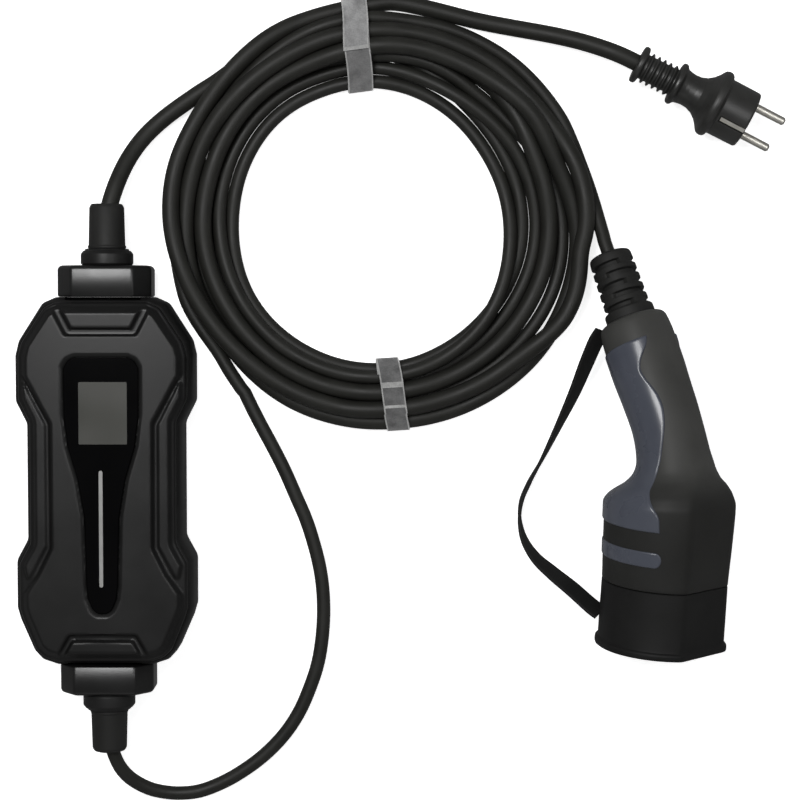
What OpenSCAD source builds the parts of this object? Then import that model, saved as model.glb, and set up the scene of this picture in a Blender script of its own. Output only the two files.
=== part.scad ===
/* [Control box] */
// Half width of the box at its two bulges
box_hw = 52; // [50:0.5:56]
// Half length of the box body
box_hl = 108; // [106:1:114]
// Height of the box above the surface it lies on
box_h = 45.5; // [45.5:0.5:50]
// Wall thickness of the two shells
wall = 3.2; // [2.8:0.1:3.6]
// Height of the gland axes above the back face
gland_z = 22; // [20:0.5:23]

/* [Cords] */
// Outer diameter of the mains cord
mains_d = 10.2; // [9:0.1:10.4]
// Outer diameter of the vehicle cord
vehicle_d = 8.2; // [7:0.1:8.4]
// Outer radius of the coil
coil_ro = 129; // [126:0.5:130]
// Inner radius of the coil
coil_ri = 78; // [76:0.5:82]
// Height of the coil's bundle
coil_h = 22; // [18:0.5:23]
// Width of the two straps
strap_w = 14.5; // [12:0.5:18]

/* [Mains plug] */
// Radius of a contact pin
pin_r = 2.4; // [2.3:0.05:2.45]
// Free length of a contact pin
pin_l = 19; // [18:0.5:20]
// Distance between the two pins
pin_pitch = 19; // [18.5:0.1:19.5]
// Radius of the plug's grip flange
plug_flange_r = 20.3; // [19:0.1:20.4]

/* [Vehicle connector] */
// Radius of the connector's head
head_r = 36.6; // [36:0.1:37]
// Radius of the dust cap's rim
rim_r = 38.3; // [37.8:0.1:38.4]
// Depth of the dust cap
cap_depth = 38.6; // [38:0.1:39]
// Radius of the handle
grip_r = 20.4; // [19:0.1:21]
// Bend between the head and the handle in degrees
bend = 29; // [27:0.5:29]

/* [Hidden] */
$fn = 48;
e = 0.01;

// ---------------------------------------------------------------- helpers

// Right half of the box outline from the mains end down, inset by i
function half_outline(i) = [
    [28 - 0.4 * i, box_hl - i], [36 - 0.8 * i, 104.5 - 0.9 * i], [box_hw - 2 - i, 82.5 - 0.4 * i],
    [box_hw - i, 74 - 0.2 * i], [box_hw - i, 47 + 0.5 * i], [45.5 - i, 34 + 0.5 * i],
    [45.5 - i, -34 - 0.5 * i], [box_hw - i, -46 - 0.5 * i], [box_hw - i, -74 + 0.2 * i],
    [box_hw - 2 - i, -81 + 0.4 * i], [42 - 0.8 * i, -99.5 + 0.6 * i], [37 - 0.7 * i, -105 + 0.9 * i],
    [28 - 0.4 * i, -box_hl + i]];

// A half list of points and its mirror image, as one closed outline
function both(h) = concat(h, [for (k = [len(h) - 1:-1:0]) [-h[k][0], h[k][1]]]);

module outline(i = 0) polygon(both(half_outline(i)));

// Window shape in the upper shell: wide at the display, narrow along the light slit
function half_window(i) = [
    [15.5, 75 - i], [20.5 - 0.7 * i, 73 - 0.7 * i], [23.6 - i, 68 - 0.4 * i], [23.6 - i, 40],
    [21.3 - i, 21], [15.7 - i, 2], [12 - i, -20], [11 - i, -60], [10.2 - i, -68 + 0.3 * i],
    [7.2 - 0.7 * i, -75 + 0.8 * i], [3.5 - 0.3 * i, -78 + i]];

// Raised field of the upper shell
function half_field() = [
    [25, 102.5], [34.5, 99], [46, 79], [46.8, 68], [29.3, 35], [29, -38], [37, -54], [46, -68],
    [45, -79], [34, -98], [25, -102.5]];

// A closed skin over equal rings of points
module skin(r) {
    n = len(r[0]);
    m = len(r);
    polyhedron(
        points = [for (a = r) for (p = a) p],
        faces = concat(
            [[for (k = [n - 1:-1:0]) k]],
            [[for (k = [0:n - 1]) (m - 1) * n + k]],
            [for (i = [0:m - 2]) for (k = [0:n - 1])
                [i * n + k, (i + 1) * n + (k + 1) % n, (i + 1) * n + k]],
            [for (i = [0:m - 2]) for (k = [0:n - 1])
                [i * n + k, i * n + (k + 1) % n, (i + 1) * n + (k + 1) % n]]));
}

function unit(v) = v / norm(v);
function along(p, i) = unit(p[min(i + 1, len(p) - 1)] - p[max(i - 1, 0)]);

// A round tube of diameter d along route p
module tube(p, d, n = 10) {
    skin([for (i = [0:len(p) - 1])
        let (t = along(p, i), s = unit(cross(t, [0, 0, 1])), u = cross(s, t))
        [for (k = [0:n - 1]) p[i] + d / 2 * (cos(360 * k / n) * s + sin(360 * k / n) * u)]]);
}

// ---------------------------------------------------------------- routes of the cords

mains_x = 1;
mains_box_route = [[mains_x, 102.6, 22], [mains_x, 130, 22], [mains_x, 150, 22], [1.6, 157, 22], [3.2, 164, 21.4],
    [5.4, 171.5, 19.6], [8, 179, 16.9], [11.2, 186.5, 14], [15, 193.5, 11.2], [19.8, 200.5, 8.6], [26, 207.5, 6.6],
    [34.5, 215, 5.5], [44.5, 222.3, 5.2], [53, 228, 5.2], [62, 233.6, 5.2], [70, 238, 5.2]];
mains_plug_route = [[186, 273, 5.2], [205, 273.5, 5.2], [219, 271, 5.2], [232, 268.5, 5.4], [244, 266.2, 6.4],
    [256, 263.8, 8.5], [268, 261, 11.6], [280, 257.6, 15], [291, 253.8, 18], [301, 249.8, 20],
    [311, 245, 20.6], [327, 236.8, 20.6]];
vehicle_x = 0.5;
vehicle_box_route = [[vehicle_x, -102.6, 22], [vehicle_x, -130, 22], [vehicle_x, -146, 22], [0.8, -153, 22], [1.8, -159.5, 21.4],
    [3.6, -166.3, 19.6], [6.4, -173, 16.9], [10.5, -178.8, 13.8], [16, -183.6, 10.8], [23, -187.6, 8.2], [31, -190, 6],
    [40, -191, 4.8], [52, -189.8, 4.3], [67, -184, 4.2], [80, -176.3, 4.2], [92, -167, 4.2], [103, -155.5, 4.2], [112, -142, 4.2],
    [119, -126, 4.2], [123.5, -112, 4.2], [126, -97, 4.2], [127, -82, 4.2], [126.5, -67, 4.2], [124.5, -53, 4.2],
    [121, -39, 4.2], [116.5, -25, 4.2], [110.5, -11, 4.2], [104, 4, 4.2], [97, 18, 4.2], [89.5, 32, 4.2],
    [82, 47, 4.2], [74.5, 64, 4.2], [68, 82, 4.2]];

// ---------------------------------------------------------------- control box

screw_at = [[36, 86], [-36, 86], [37.4, 2], [-37.4, 2], [36, -86], [-36, -86]];
board_at = [[27, 66], [-27, 66], [27, -66], [-27, -66]];
panel_at = [[26.4, 68], [-26.4, 68], [24, -58], [-24, -58]];
seam_z = 37;
base_z = seam_z + 0.8;
field_z = box_h - 3.5;

module lower_shell() color("#141414") difference() {
    union() {
        linear_extrude(seam_z) outline(2.4);
        translate([0, 0, 2]) linear_extrude(32.4) outline(1);
        translate([0, 0, 4]) linear_extrude(27) outline(0);
    }
    difference() {
        union() {
            translate([0, 0, wall]) linear_extrude(26) outline(wall);
            translate([0, 0, 29]) linear_extrude(10) outline(wall + 3);
        }
        for (p = screw_at) translate([p[0], p[1], 0]) cylinder(r = 4, h = seam_z - 0.4);
        for (p = board_at) translate([p[0], p[1], 0]) cylinder(r = 3, h = 11);
    }
    for (p = screw_at) translate([p[0], p[1], -1]) rotate([0, 0, 25]) {
        cylinder(r = 1.8, h = 40);
        cylinder(r = 3.3, h = 5);
    }
    for (p = board_at) translate([p[0], p[1], 5]) cylinder(r = 1.2, h = 8);
    for (s = [1, -1]) translate([-22, s > 0 ? box_hl - 8 : -box_hl - 1, 9]) cube([44, 9, 27]);
}

module upper_shell() color("#3c3c3c") difference() {
    union() {
        translate([0, 0, base_z]) linear_extrude(field_z - base_z) outline(3);
        translate([0, 0, field_z - e]) linear_extrude(3.5 + e) difference() {
            polygon(both(half_field()));
            polygon(both([[29.5, 101], [20.5, 86], [0, 86]]));
            polygon(both([[0, -88], [19.5, -88.5], [28, -102]]));
        }
        // trapezoid panels at the two ends
        translate([0, 0, field_z - e]) linear_extrude(3.3 + e) {
            polygon(both([[24.5, 102], [17.4, 89.8], [0, 89.8]]));
            polygon(both([[0, -92], [17.6, -92.2], [23.5, -102]]));
        }
        // side strips in the waist
        for (s = [1, -1]) translate([0, 0, field_z - e]) linear_extrude(1.8)
            polygon([[s * 32.8, 34], [s * 46.5, 60], [s * 47.6, 49], [s * 41.2, 36], [s * 41.2, -36], [s * 46, -46], [s * 44, -58], [s * 32.8, -37]]);
        // posts that carry the display board, with a staked peg through it
        for (p = panel_at) translate([p[0], p[1], 0]) {
            translate([0, 0, 35.45]) cylinder(r = 1.9, h = field_z + 1.5 - 35.45);
            translate([0, 0, 33]) cylinder(r = 1.05, h = 4);
        }
    }
    difference() {
        union() {
            translate([0, 0, base_z - e]) linear_extrude(2.2) outline(3 + wall);
            translate([0, 0, base_z]) linear_extrude(field_z + 0.8 - base_z) polygon(both([[23, 84], [33, 80], [43, 66], [26.5, 33],
                [26.2, -37], [34, -53], [42, -67], [30, -80], [20, -84]]));
        }
        for (p = screw_at) translate([p[0], p[1], base_z - 1]) cylinder(r = 3.8, h = 8);
        for (p = panel_at) translate([p[0], p[1], base_z - 6]) cylinder(r = 2.3, h = 14);
    }
    for (p = screw_at) translate([p[0], p[1], base_z - 1]) cylinder(r = 1.5, h = 3.6);
    // stepped window opening
    translate([0, 0, field_z + 2.2]) linear_extrude(4) polygon(both(half_window(0)));
    translate([0, 0, field_z + 0.9]) linear_extrude(4) polygon(both(half_window(1.8)));
    translate([0, 0, base_z - 1]) linear_extrude(9) polygon(both(half_window(3.8)));
}

module shell_gasket() color("#202020") translate([0, 0, seam_z]) linear_extrude(0.8) difference() {
    outline(3.6);
    outline(5.6);
}

module housing_screws() color("#9a9a98") for (p = screw_at) translate([p[0], p[1], 0]) difference() {
    union() {
        translate([0, 0, 1.2]) cylinder(r = 2.9, h = 2.8);
        translate([0, 0, 4 - e]) cylinder(r = 1.45, h = 36);
    }
    translate([0, 0, 1]) cylinder(r = 1.3, h = 1.8, $fn = 6);
}

module display_window() color("#080808") translate([0, 0, field_z + 1]) difference() {
    linear_extrude(1.5) polygon(both(half_window(2.1)));
    translate([-1.8, -60.8, -1]) cube([2.6, 68.6, 4]);
}

module lcd_module() color("#5c5e57") translate([-14.5, 21.5, 35.4]) cube([30, 38.5, field_z + 0.8 - 35.4]);

module light_guide() color("#c8c8c4") translate([-0.5, 0, 35.4]) {
    translate([-1.1, -59.4, 0]) cube([2.2, 65.8, field_z + 2.3 - 35.4]);
    for (y = [-59.4, 6.4]) translate([0, y, 0]) cylinder(r = 1.1, h = field_z + 2.3 - 35.4);
}

module display_board() color("#1d5a34") difference() {
    translate([-28.6, -64, 33.8]) cube([57.2, 138, 1.6]);
    for (p = panel_at) translate([p[0], p[1], 30]) cylinder(r = 1.2, h = 8);
}

module main_board() color("#1d5a34") difference() {
    translate([-32.5, -72, 11]) cube([65, 144, 1.6]);
    for (p = board_at) translate([p[0], p[1], 9]) cylinder(r = 1.4, h = 8);
}

module board_screws() color("#b8b8b4") for (p = board_at) translate([p[0], p[1], 0]) difference() {
    union() {
        translate([0, 0, 5.2]) cylinder(r = 1.1, h = 7.5);
        translate([0, 0, 12.6]) cylinder(r = 2.5, h = 1.9);
    }
    translate([0, 0, 13.5]) cylinder(r = 1, h = 2, $fn = 6);
}

top_z = 12.6;
module power_relays() color("#2a4a78") for (x = [-13.5, 13.5]) translate([x - 11, -38, top_z]) difference() {
    cube([22, 16, 19.5]);
    translate([3, 3, 19]) cube([16, 10, 2]);
}

module leakage_sensor() color("#7a3a22") translate([0, 42, top_z]) rotate_extrude()
    polygon([[7.5, 0], [13.5, 0], [14.5, 1], [14.5, 11], [13.5, 12], [7.5, 12], [6.5, 11], [6.5, 1]]);

module supply_transformer() color("#d8b048") translate([-18, 8, top_z]) {
    translate([-11, -9, 0]) cube([22, 18, 4]);
    translate([-9, -7, 4 - e]) cube([18, 14, 11]);
    translate([-11, -9, 15 - e]) cube([22, 18, 3]);
}

module filter_capacitors() color("#303850") for (y = [-8, 5, 18]) translate([18, y, top_z]) {
    cylinder(r = 5.5, h = 17);
    translate([0, 0, 17 - e]) cylinder(r = 4.9, h = 0.6);
}

module terminal(y, n) difference() {
    translate([-16, y - 5, top_z]) cube([32, 10, 13]);
    for (k = [0:n - 1]) translate([(k - (n - 1) / 2) * 7.6, y, top_z + 8]) cylinder(r = 2.2, h = 8);
}
module mains_terminal() color("#2f7a4a") terminal(63, 3);
module vehicle_terminal() color("#2f7a4a") terminal(-61, 4);

module cores(n, y0, y1) for (k = [0:n - 1]) translate([(k - (n - 1) / 2) * (n > 3 ? 3.6 : 4.2) + mains_x, y0, 20])
    rotate([-90, 0, 0]) cylinder(r = 1.4, h = y1 - y0);
module mains_wires() color("#6a4a2a") cores(3, 68.1, 102.5);
module vehicle_wires() color("#3a5a8a") translate([vehicle_x - mains_x, 0, 0]) cores(4, -102.5, -66.1);

// Block that closes an end of the box and carries its gland
module end_block(y0, y1, x, bore_r) difference() {
    union() {
        translate([0, y1, 0]) rotate([90, 0, 0]) linear_extrude(y1 - y0)
            polygon([[-27.5, 9], [-23.5, 5], [23.5, 5], [27.5, 9], [27.5, 27], [18, 38.5], [-18, 38.5], [-27.5, 27]]);
        translate([-21.5, y0 < 0 ? y1 - e : y0 - 5, 9.5]) cube([43, 5 + e, 26]);
    }
    translate([x, y0 - 8, gland_z]) rotate([-90, 0, 0]) cylinder(r = bore_r, h = 40);
}
module mains_end_block() color("#202020") end_block(box_hl + 0.05, 126.5, mains_x, mains_d / 2 + 0.3);
module vehicle_end_block() color("#202020") end_block(-125.5, -box_hl - 0.05, vehicle_x, vehicle_d / 2 + 0.3);

// Gland nut with its turned edges, and boot sleeve with a flared mouth, both along +Y from y
module nut(x, y, s, l, bore_r) translate([x, y, gland_z]) rotate([s > 0 ? -90 : 90, 0, 0]) rotate_extrude()
    polygon([[bore_r, 0], [15, 0], [15.3, 0.4], [15.3, l - 1.6], [13.6, l - 0.4], [13.2, l], [bore_r, l]]);
module sleeve(x, y, s, l, bore_r) translate([x, y, gland_z]) rotate([s > 0 ? -90 : 90, 0, 0]) rotate_extrude()
    polygon([[bore_r, 0], [10.7, 0], [10.2, l - 2.4], [9.6, l - 0.7], [8.6, l], [bore_r + 2.4, l], [bore_r, l - 14]]);
module mains_gland_nut() color("#242424") nut(mains_x, 126.5, 1, 9.7, mains_d / 2 + 0.3);
module vehicle_gland_nut() color("#242424") nut(vehicle_x, -125.5, -1, 10.3, vehicle_d / 2 + 0.3);
module mains_boot() color("#2e2e2e") sleeve(mains_x, 136.2, 1, 26.3, mains_d / 2 + 0.3);
module vehicle_boot() color("#2e2e2e") sleeve(vehicle_x, -135.8, -1, 25, vehicle_d / 2 + 0.3);

// ---------------------------------------------------------------- cords, coil and straps

coil_c = [161.5, 154.5];
module mains_cord_box_run() color("#35352f") tube(mains_box_route, mains_d);
module mains_cord_plug_run() color("#35352f") tube(mains_plug_route, mains_d);
module vehicle_cord_box_run() color("#3a3a34") tube(vehicle_box_route, vehicle_d);

module cord_coil() color("#30302b") translate([coil_c[0], coil_c[1], 0]) rotate_extrude($fn = 96)
    polygon([[coil_ri + 4, 1.4], [coil_ro - 4, 1.4], [coil_ro, 4.5], [coil_ro, coil_h - 6], [coil_ro - 5, coil_h - 1],
        [coil_ro - 9, coil_h], [coil_ri + 9, coil_h], [coil_ri + 4, coil_h - 2], [coil_ri, coil_h - 6], [coil_ri, 4.5]]);

// A band round the bundle at angle a, lying flat against it
module band(a) translate([coil_c[0], coil_c[1], 0]) rotate([0, 0, a]) translate([0, strap_w / 2, 0]) rotate([90, 0, 0])
    linear_extrude(strap_w) difference() {
        polygon([[coil_ri - 1.8, 1.5], [coil_ri - 0.5, 0], [coil_ro + 0.5, 0], [coil_ro + 1.8, 1.5], [coil_ro + 1.8, coil_h - 4],
            [coil_ro - 3, coil_h + 1], [coil_ro - 8, coil_h + 1.6], [coil_ri + 8, coil_h + 1.6], [coil_ri + 3, coil_h],
            [coil_ri - 1.8, coil_h - 4]]);
        polygon([[coil_ri - 0.4, 1.3], [coil_ro + 0.4, 1.3], [coil_ro + 0.4, coil_h - 5],
            [coil_ro - 4, coil_h - 0.3], [coil_ro - 8.5, coil_h + 0.2], [coil_ri + 8.5, coil_h + 0.2], [coil_ri + 4, coil_h - 1.1],
            [coil_ri - 0.4, coil_h - 5]]);
    }
module coil_strap_top() color("#8a8a8a") band(97.5);
module coil_strap_bottom() color("#7a7a7a") band(273.5);

// ---------------------------------------------------------------- mains plug

plug_at = [311.6, 244.6, 20.6];
plug_yaw = -27.2;
pin_roll = 31;

// Places a piece drawn along +Z on the plug's axis, with the pins in the local XZ plane
module on_plug() translate(plug_at) rotate([0, 0, plug_yaw]) rotate([pin_roll, 0, 0]) rotate([0, 90, 0]) rotate([0, 0, 90]) children();

module plug_body() color("#2c2c2a") on_plug() difference() {
    union() {
        rotate_extrude() polygon(concat(
            [[mains_d / 2 + 0.3, 0], [10.6, 0], [11.3, 0.8], [11.3, 3.6], [10.6, 4.4]],
            [for (k = [0:4]) for (q = [[8, 4.6], [8, 5.8], [9.4, 6], [9.4, 7.8]]) [q[0], q[1] + 3.4 * k]],
            [[8.2, 21.6], [8.2, 22.6], [12, 23], [12.8, 23.8], [12.8, 27.4], [12, 28.4], [10.2, 29.6], [9.6, 32], [9.8, 36],
             [11, 40], [13.4, 43.6], [17, 46.6], [plug_flange_r - 0.6, 48.6], [plug_flange_r, 49.6], [plug_flange_r, 53],
             [plug_flange_r - 0.9, 54], [17.4, 54.4], [17, 72], [16, 73], [0, 73], [0, 26], [mains_d / 2 + 0.3, 26]]));
    }
    for (s = [1, -1]) {
        // pin seats
        translate([s * pin_pitch / 2, 0, 60]) cylinder(r = 3, h = 14);
        // recesses for the earth contacts
        translate([-2, s * 17 - 2.4, 56]) cube([4, 4.8, 18]);
    }
    // hole for a fixed earth pin
    translate([0, -10, 58]) cylinder(r = 2.5, h = 16);
}

module plug_pins() color("#d8d4c8") on_plug() for (s = [1, -1]) translate([s * pin_pitch / 2, 0, 0]) rotate_extrude()
    polygon([[0, 61], [2.9, 61], [2.9, 72.8], [pin_r, 73], [pin_r, 73 + pin_l - 1], [pin_r - 0.9, 73 + pin_l], [0, 73 + pin_l]]);

module plug_earth_contacts() color("#d8d4c8") on_plug() for (s = [1, -1])
    translate([-1.2, s > 0 ? 14.65 : -16.65, 57]) cube([2.4, 2, 15.4]);

// ---------------------------------------------------------------- vehicle connector

head_at = [326.8, -57, 41.9];
pitch = 5;
yaw = -3;
roll = 45;

// Connector frame: the head points along -Y, the flat of the head faces +Z, the handle bends towards -Z
module on_connector() translate(head_at) rotate([pitch, 0, yaw]) rotate([0, roll, 0]) children();

neck_s = 40;
arc_r = 126;
arc_l = arc_r * bend * PI / 180;
handle_end = 158;
boot_end = 199.5;
function tilt_at(s) = min(max(s - neck_s, 0), arc_l) / arc_r * 180 / PI;
// The handle sits a little towards the flat side of the head
function rise(s) = let (u = min(max((s - 48) / 24, 0), 1)) 5 * u * u * (3 - 2 * u);
function line_at(s) = let (t = tilt_at(s), f = max(s - neck_s - arc_l, 0))
    [0, min(s, neck_s) + arc_r * sin(t) + f * cos(t), rise(s) - arc_r * (1 - cos(t)) - f * sin(t)];
function point_at(s, x, z) = line_at(s) + [x, z * sin(tilt_at(s)), z * cos(tilt_at(s))];

// Circle of radius r with its top cut flat at f times the radius
function d_section(r, f, n) = [for (k = [0:n - 1]) [r * cos(360 * k / n), min(r * sin(360 * k / n), f * r)]];
module d_shape(r, f = 0.84) intersection() {
    circle(r, $fn = 64);
    translate([-r, -r]) square([2 * r, r + f * r]);
}

// Stations of the body: distance along the line, radius, flat
body_st = [[0.4, head_r - 0.2, 0.84], [6, head_r, 0.84], [24, head_r + 0.7, 0.84], [46, head_r + 1.2, 0.84], [51, head_r - 0.6, 0.85],
    [56, 32, 0.88], [60.5, 27, 0.94], [67, 23, 1], [76, grip_r + 0.4, 1], [92, grip_r - 0.4, 1], [110, grip_r, 1], [130, grip_r + 0.7, 1],
    [146, grip_r + 0.5, 1], [handle_end, grip_r - 1, 1]];
module body_skin(inset, from = 0, to = 13, n = 28) skin([for (i = [from:to]) let (q = body_st[i])
    [for (p = d_section(q[1] - inset, q[2], n)) point_at(q[0], p[0], p[1])]]);

module connector_body() color("#2a2a2a") on_connector() difference() {
    body_skin(0);
    skin([for (q = [[4, head_r - 5, 0.82], [46, head_r - 5, 0.82], [54, 26.5, 0.84], [60, 21, 0.9], [67, 17.5, 0.94], [92, 15.6, 1],
        [130, 16, 1], [153, 15.6, 1]]) [for (p = d_section(q[1], q[2], 24)) point_at(q[0], p[0], p[1])]]);
    translate([0, 6, 0]) rotate([90, 0, 0]) cylinder(r = 24, h = 8);
    translate(line_at(150)) rotate([-90 - tilt_at(150), 0, 0]) cylinder(r = 6.5, h = 12);
}

module nose_shell() color("#242424") on_connector() rotate([90, 0, 0]) translate([0, 0, -0.35]) difference() {
    linear_extrude(29.3) d_shape(33.4);
    translate([0, 0, 4]) linear_extrude(30) d_shape(30.2);
    translate([0, 0, -1]) cylinder(r = 25.8, h = 8);
}

// Contact places as seen from the front: large in two rows, small above
big_at = [[-14.2, 0], [0, 0], [14.2, 0]];
blind_at = [[-7.4, -13], [7.4, -13]];
small_at = [[-7.2, 12.4], [7.2, 12.4]];
module contact_carrier() color("#1c1c1c") on_connector() difference() {
    union() {
        translate([0, 3.5, 0]) rotate([90, 0, 0]) cylinder(r = 23.6, h = 8);
        translate([0, -3.7, 0]) rotate([90, 0, 0]) linear_extrude(22.3) d_shape(26.5, 0.94);
    }
    for (p = big_at) translate([p[0], 5, p[1]]) rotate([90, 0, 0]) cylinder(r = 4.2, h = 40);
    for (p = small_at) translate([p[0], 5, p[1]]) rotate([90, 0, 0]) cylinder(r = 2.7, h = 40);
    for (p = blind_at) translate([p[0], -18, p[1]]) rotate([90, 0, 0]) cylinder(r = 4.2, h = 20);
}
module socket(p, ro, ri) translate([p[0], 12, p[1]]) rotate([90, 0, 0]) difference() {
    cylinder(r = ro, h = 36);
    translate([0, 0, 14]) cylinder(r = ri, h = 30);
}
module power_contacts() color("#c8c0a8") on_connector() for (p = big_at) socket(p, 4.1, 3.05);
module pilot_contacts() color("#c8c0a8") on_connector() for (p = small_at) socket(p, 2.6, 1.55);

// Clamp that holds the cord's jacket in the handle
module cord_clamp() color("#606060") on_connector() translate(line_at(134)) rotate([-90 - tilt_at(134), 0, 0]) difference() {
    translate([-13, -8, 0]) cube([26, 16, 12]);
    translate([0, 0, -1]) cylinder(r = vehicle_d / 2 + 0.3, h = 14);
    for (x = [-9, 9]) translate([x, 10, 6]) rotate([90, 0, 0]) cylinder(r = 1.7, h = 20);
}
module clamp_screws() color("#b8b8b4") on_connector() translate(line_at(134)) rotate([-90 - tilt_at(134), 0, 0])
    for (x = [-9, 9]) translate([x, 10.3, 6]) rotate([90, 0, 0]) difference() {
        union() {
            cylinder(r = 2.7, h = 2.2);
            cylinder(r = 1.6, h = 17);
        }
        translate([0, 0, -1]) cylinder(r = 1.1, h = 2.2, $fn = 6);
    }

module connector_wires() color("#3a5a8a") on_connector() for (k = [0:2]) let (p = big_at[k])
    tube([[p[0], 12.2, p[1]], [p[0], 26, p[1]], [p[0] * 0.7, 45, p[1] - 1], point_at(70, p[0] * 0.4, 0), point_at(90, p[0] * 0.3, 0),
        point_at(110, p[0] * 0.25, 0), point_at(126, p[0] * 0.25, 0)], 3, 8);

module vehicle_cord_connector_run() color("#3a3a34") tube([[270, 200, 4.2], [276, 188.5, 4.4], [281, 177, 5.6], [285.2, 166, 8.2],
    [289, 154.5, 11.6], [292.7, 143.5, 14.6], connector_pt(boot_end), connector_pt(180), connector_pt(160), connector_pt(146), connector_pt(128)], vehicle_d);
// Place on the connector's line at distance s, in the box's frame
function turn_y(v, a) = [v[0] * cos(a) + v[2] * sin(a), v[1], v[2] * cos(a) - v[0] * sin(a)];
function turn_x(v, a) = [v[0], v[1] * cos(a) - v[2] * sin(a), v[1] * sin(a) + v[2] * cos(a)];
function turn_z(v, a) = [v[0] * cos(a) - v[1] * sin(a), v[0] * sin(a) + v[1] * cos(a), v[2]];
function connector_pt(s) = head_at + turn_z(turn_x(turn_y(line_at(s), roll), pitch), yaw);

// Gloss insert round the finger side: a curved plate from angle a of each section to its mirror image,
// and a short band of it nearer the head
insert_st = [[35, 150], [42, 151], [51, 160], [58, 166], [66, 167], [77, 160], [86, 152], [93, 145], [102, 141], [112, 146],
    [118, 152], [124, 155], [128, 152], [134, 142], [142, 129]];
band_st = [[14.6, 152], [16.5, 148], [19, 147], [21.5, 148], [23.6, 152]];
function body_r(s) = lookup(s, [for (q = body_st) [q[0], q[1]]]);
// A closed skin over C-shaped rings, outer side first and inner side back
module wrap(r) {
    n = len(r[0]);
    m = len(r);
    polyhedron(
        points = [for (a = r) for (p = a) p],
        faces = concat(
            [for (k = [0:n / 2 - 2]) [n - 1 - k, n - 2 - k, k + 1, k]],
            [for (k = [0:n / 2 - 2]) [for (q = [k, k + 1, n - 2 - k, n - 1 - k]) (m - 1) * n + q]],
            [for (i = [0:m - 2]) for (k = [0:n - 1])
                [i * n + k, (i + 1) * n + (k + 1) % n, (i + 1) * n + k]],
            [for (i = [0:m - 2]) for (k = [0:n - 1])
                [i * n + k, i * n + (k + 1) % n, (i + 1) * n + (k + 1) % n]]));
}
module curved_plate(st, t, c = 22) wrap([for (q = st) let (r = body_r(q[0]) + 0.05, w = 540 - 2 * q[1])
    concat([for (k = [0:c]) let (a = q[1] + w * k / c) point_at(q[0], (r + t) * cos(a), (r + t) * sin(a))],
        [for (k = [c:-1:0]) let (a = q[1] + w * k / c) point_at(q[0], r * cos(a), r * sin(a))])]);
module grip_insert() color("#46484e") on_connector() {
    curved_plate(insert_st, 0.9);
    curved_plate(band_st, 0.6);
}

module connector_boot() color("#2a2a2a") on_connector() translate(line_at(handle_end)) rotate([-90 - tilt_at(handle_end), 0, 0])
    rotate_extrude() polygon(concat(
        [[vehicle_d / 2 + 0.3, 0], [14.2, 0], [14.6, 0.5], [14.6, 6], [13.6, 7]],
        [for (k = [0:4]) for (q = [[11.2, 7.4], [11.2, 9.6], [13.2, 9.9], [13.2, 13.4]]) [q[0] - 0.12 * k, q[1] + 6.4 * k]],
        [[12.4, boot_end - handle_end - 1.6], [11.6, boot_end - handle_end], [vehicle_d / 2 + 0.3, boot_end - handle_end]]));

module dust_cap() color("#303030") on_connector() rotate([90, 0, 0]) difference() {
    union() {
        linear_extrude(cap_depth) d_shape(head_r - 0.2);
        translate([0, 0, cap_depth - 4.2]) linear_extrude(4.2) d_shape(rim_r);
    }
    translate([0, 0, -1]) linear_extrude(cap_depth - 2.9) d_shape(33.8);
}

// Flat rubber strap from the handle to the cap: centre, and the lean of its width from level
tether_route = [[292, 88, 24.5, 33], [288.5, 82.5, 22.2, 35], [283, 69, 18.5, 40], [276.5, 52, 15, 52], [268, 33, 11.5, 68], [258, 12, 8.5, 82], [250, -3, 7, 90],
    [245.5, -14, 7, 90], [244.5, -24, 7.6, 86], [247, -36, 10.5, 74], [253.5, -46.5, 15, 62], [263, -55, 20, 50], [274.5, -64, 26, 42],
    [286, -73.7, 32.6, 38]];
module cap_tether() color("#262626") {
    c = [for (q = tether_route) [q[0], q[1], q[2]]];
    skin([for (i = [0:len(c) - 1])
        let (t = along(c, i), s = unit(cross(t, [0, 0, 1])), u = cross(s, t), a = tether_route[i][3],
            w = cos(a) * s + sin(a) * u, h = cross(w, t))
        [for (q = [[-5.5, -1.1], [5.5, -1.1], [5.5, 1.1], [-5.5, 1.1]]) c[i] + q[0] * w + q[1] * h]]);
}

// ---------------------------------------------------------------- drawing

upper_shell();
lower_shell();
shell_gasket();
housing_screws();
display_window();
lcd_module();
light_guide();
display_board();
main_board();
board_screws();
power_relays();
leakage_sensor();
supply_transformer();
filter_capacitors();
mains_terminal();
vehicle_terminal();
mains_wires();
vehicle_wires();
mains_end_block();
vehicle_end_block();
mains_gland_nut();
vehicle_gland_nut();
mains_boot();
vehicle_boot();
mains_cord_box_run();
mains_cord_plug_run();
cord_coil();
vehicle_cord_box_run();
vehicle_cord_connector_run();
coil_strap_top();
coil_strap_bottom();
plug_body();
plug_pins();
plug_earth_contacts();
connector_body();
grip_insert();
nose_shell();
contact_carrier();
power_contacts();
pilot_contacts();
cord_clamp();
clamp_screws();
connector_wires();
connector_boot();
dust_cap();
cap_tether();
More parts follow.
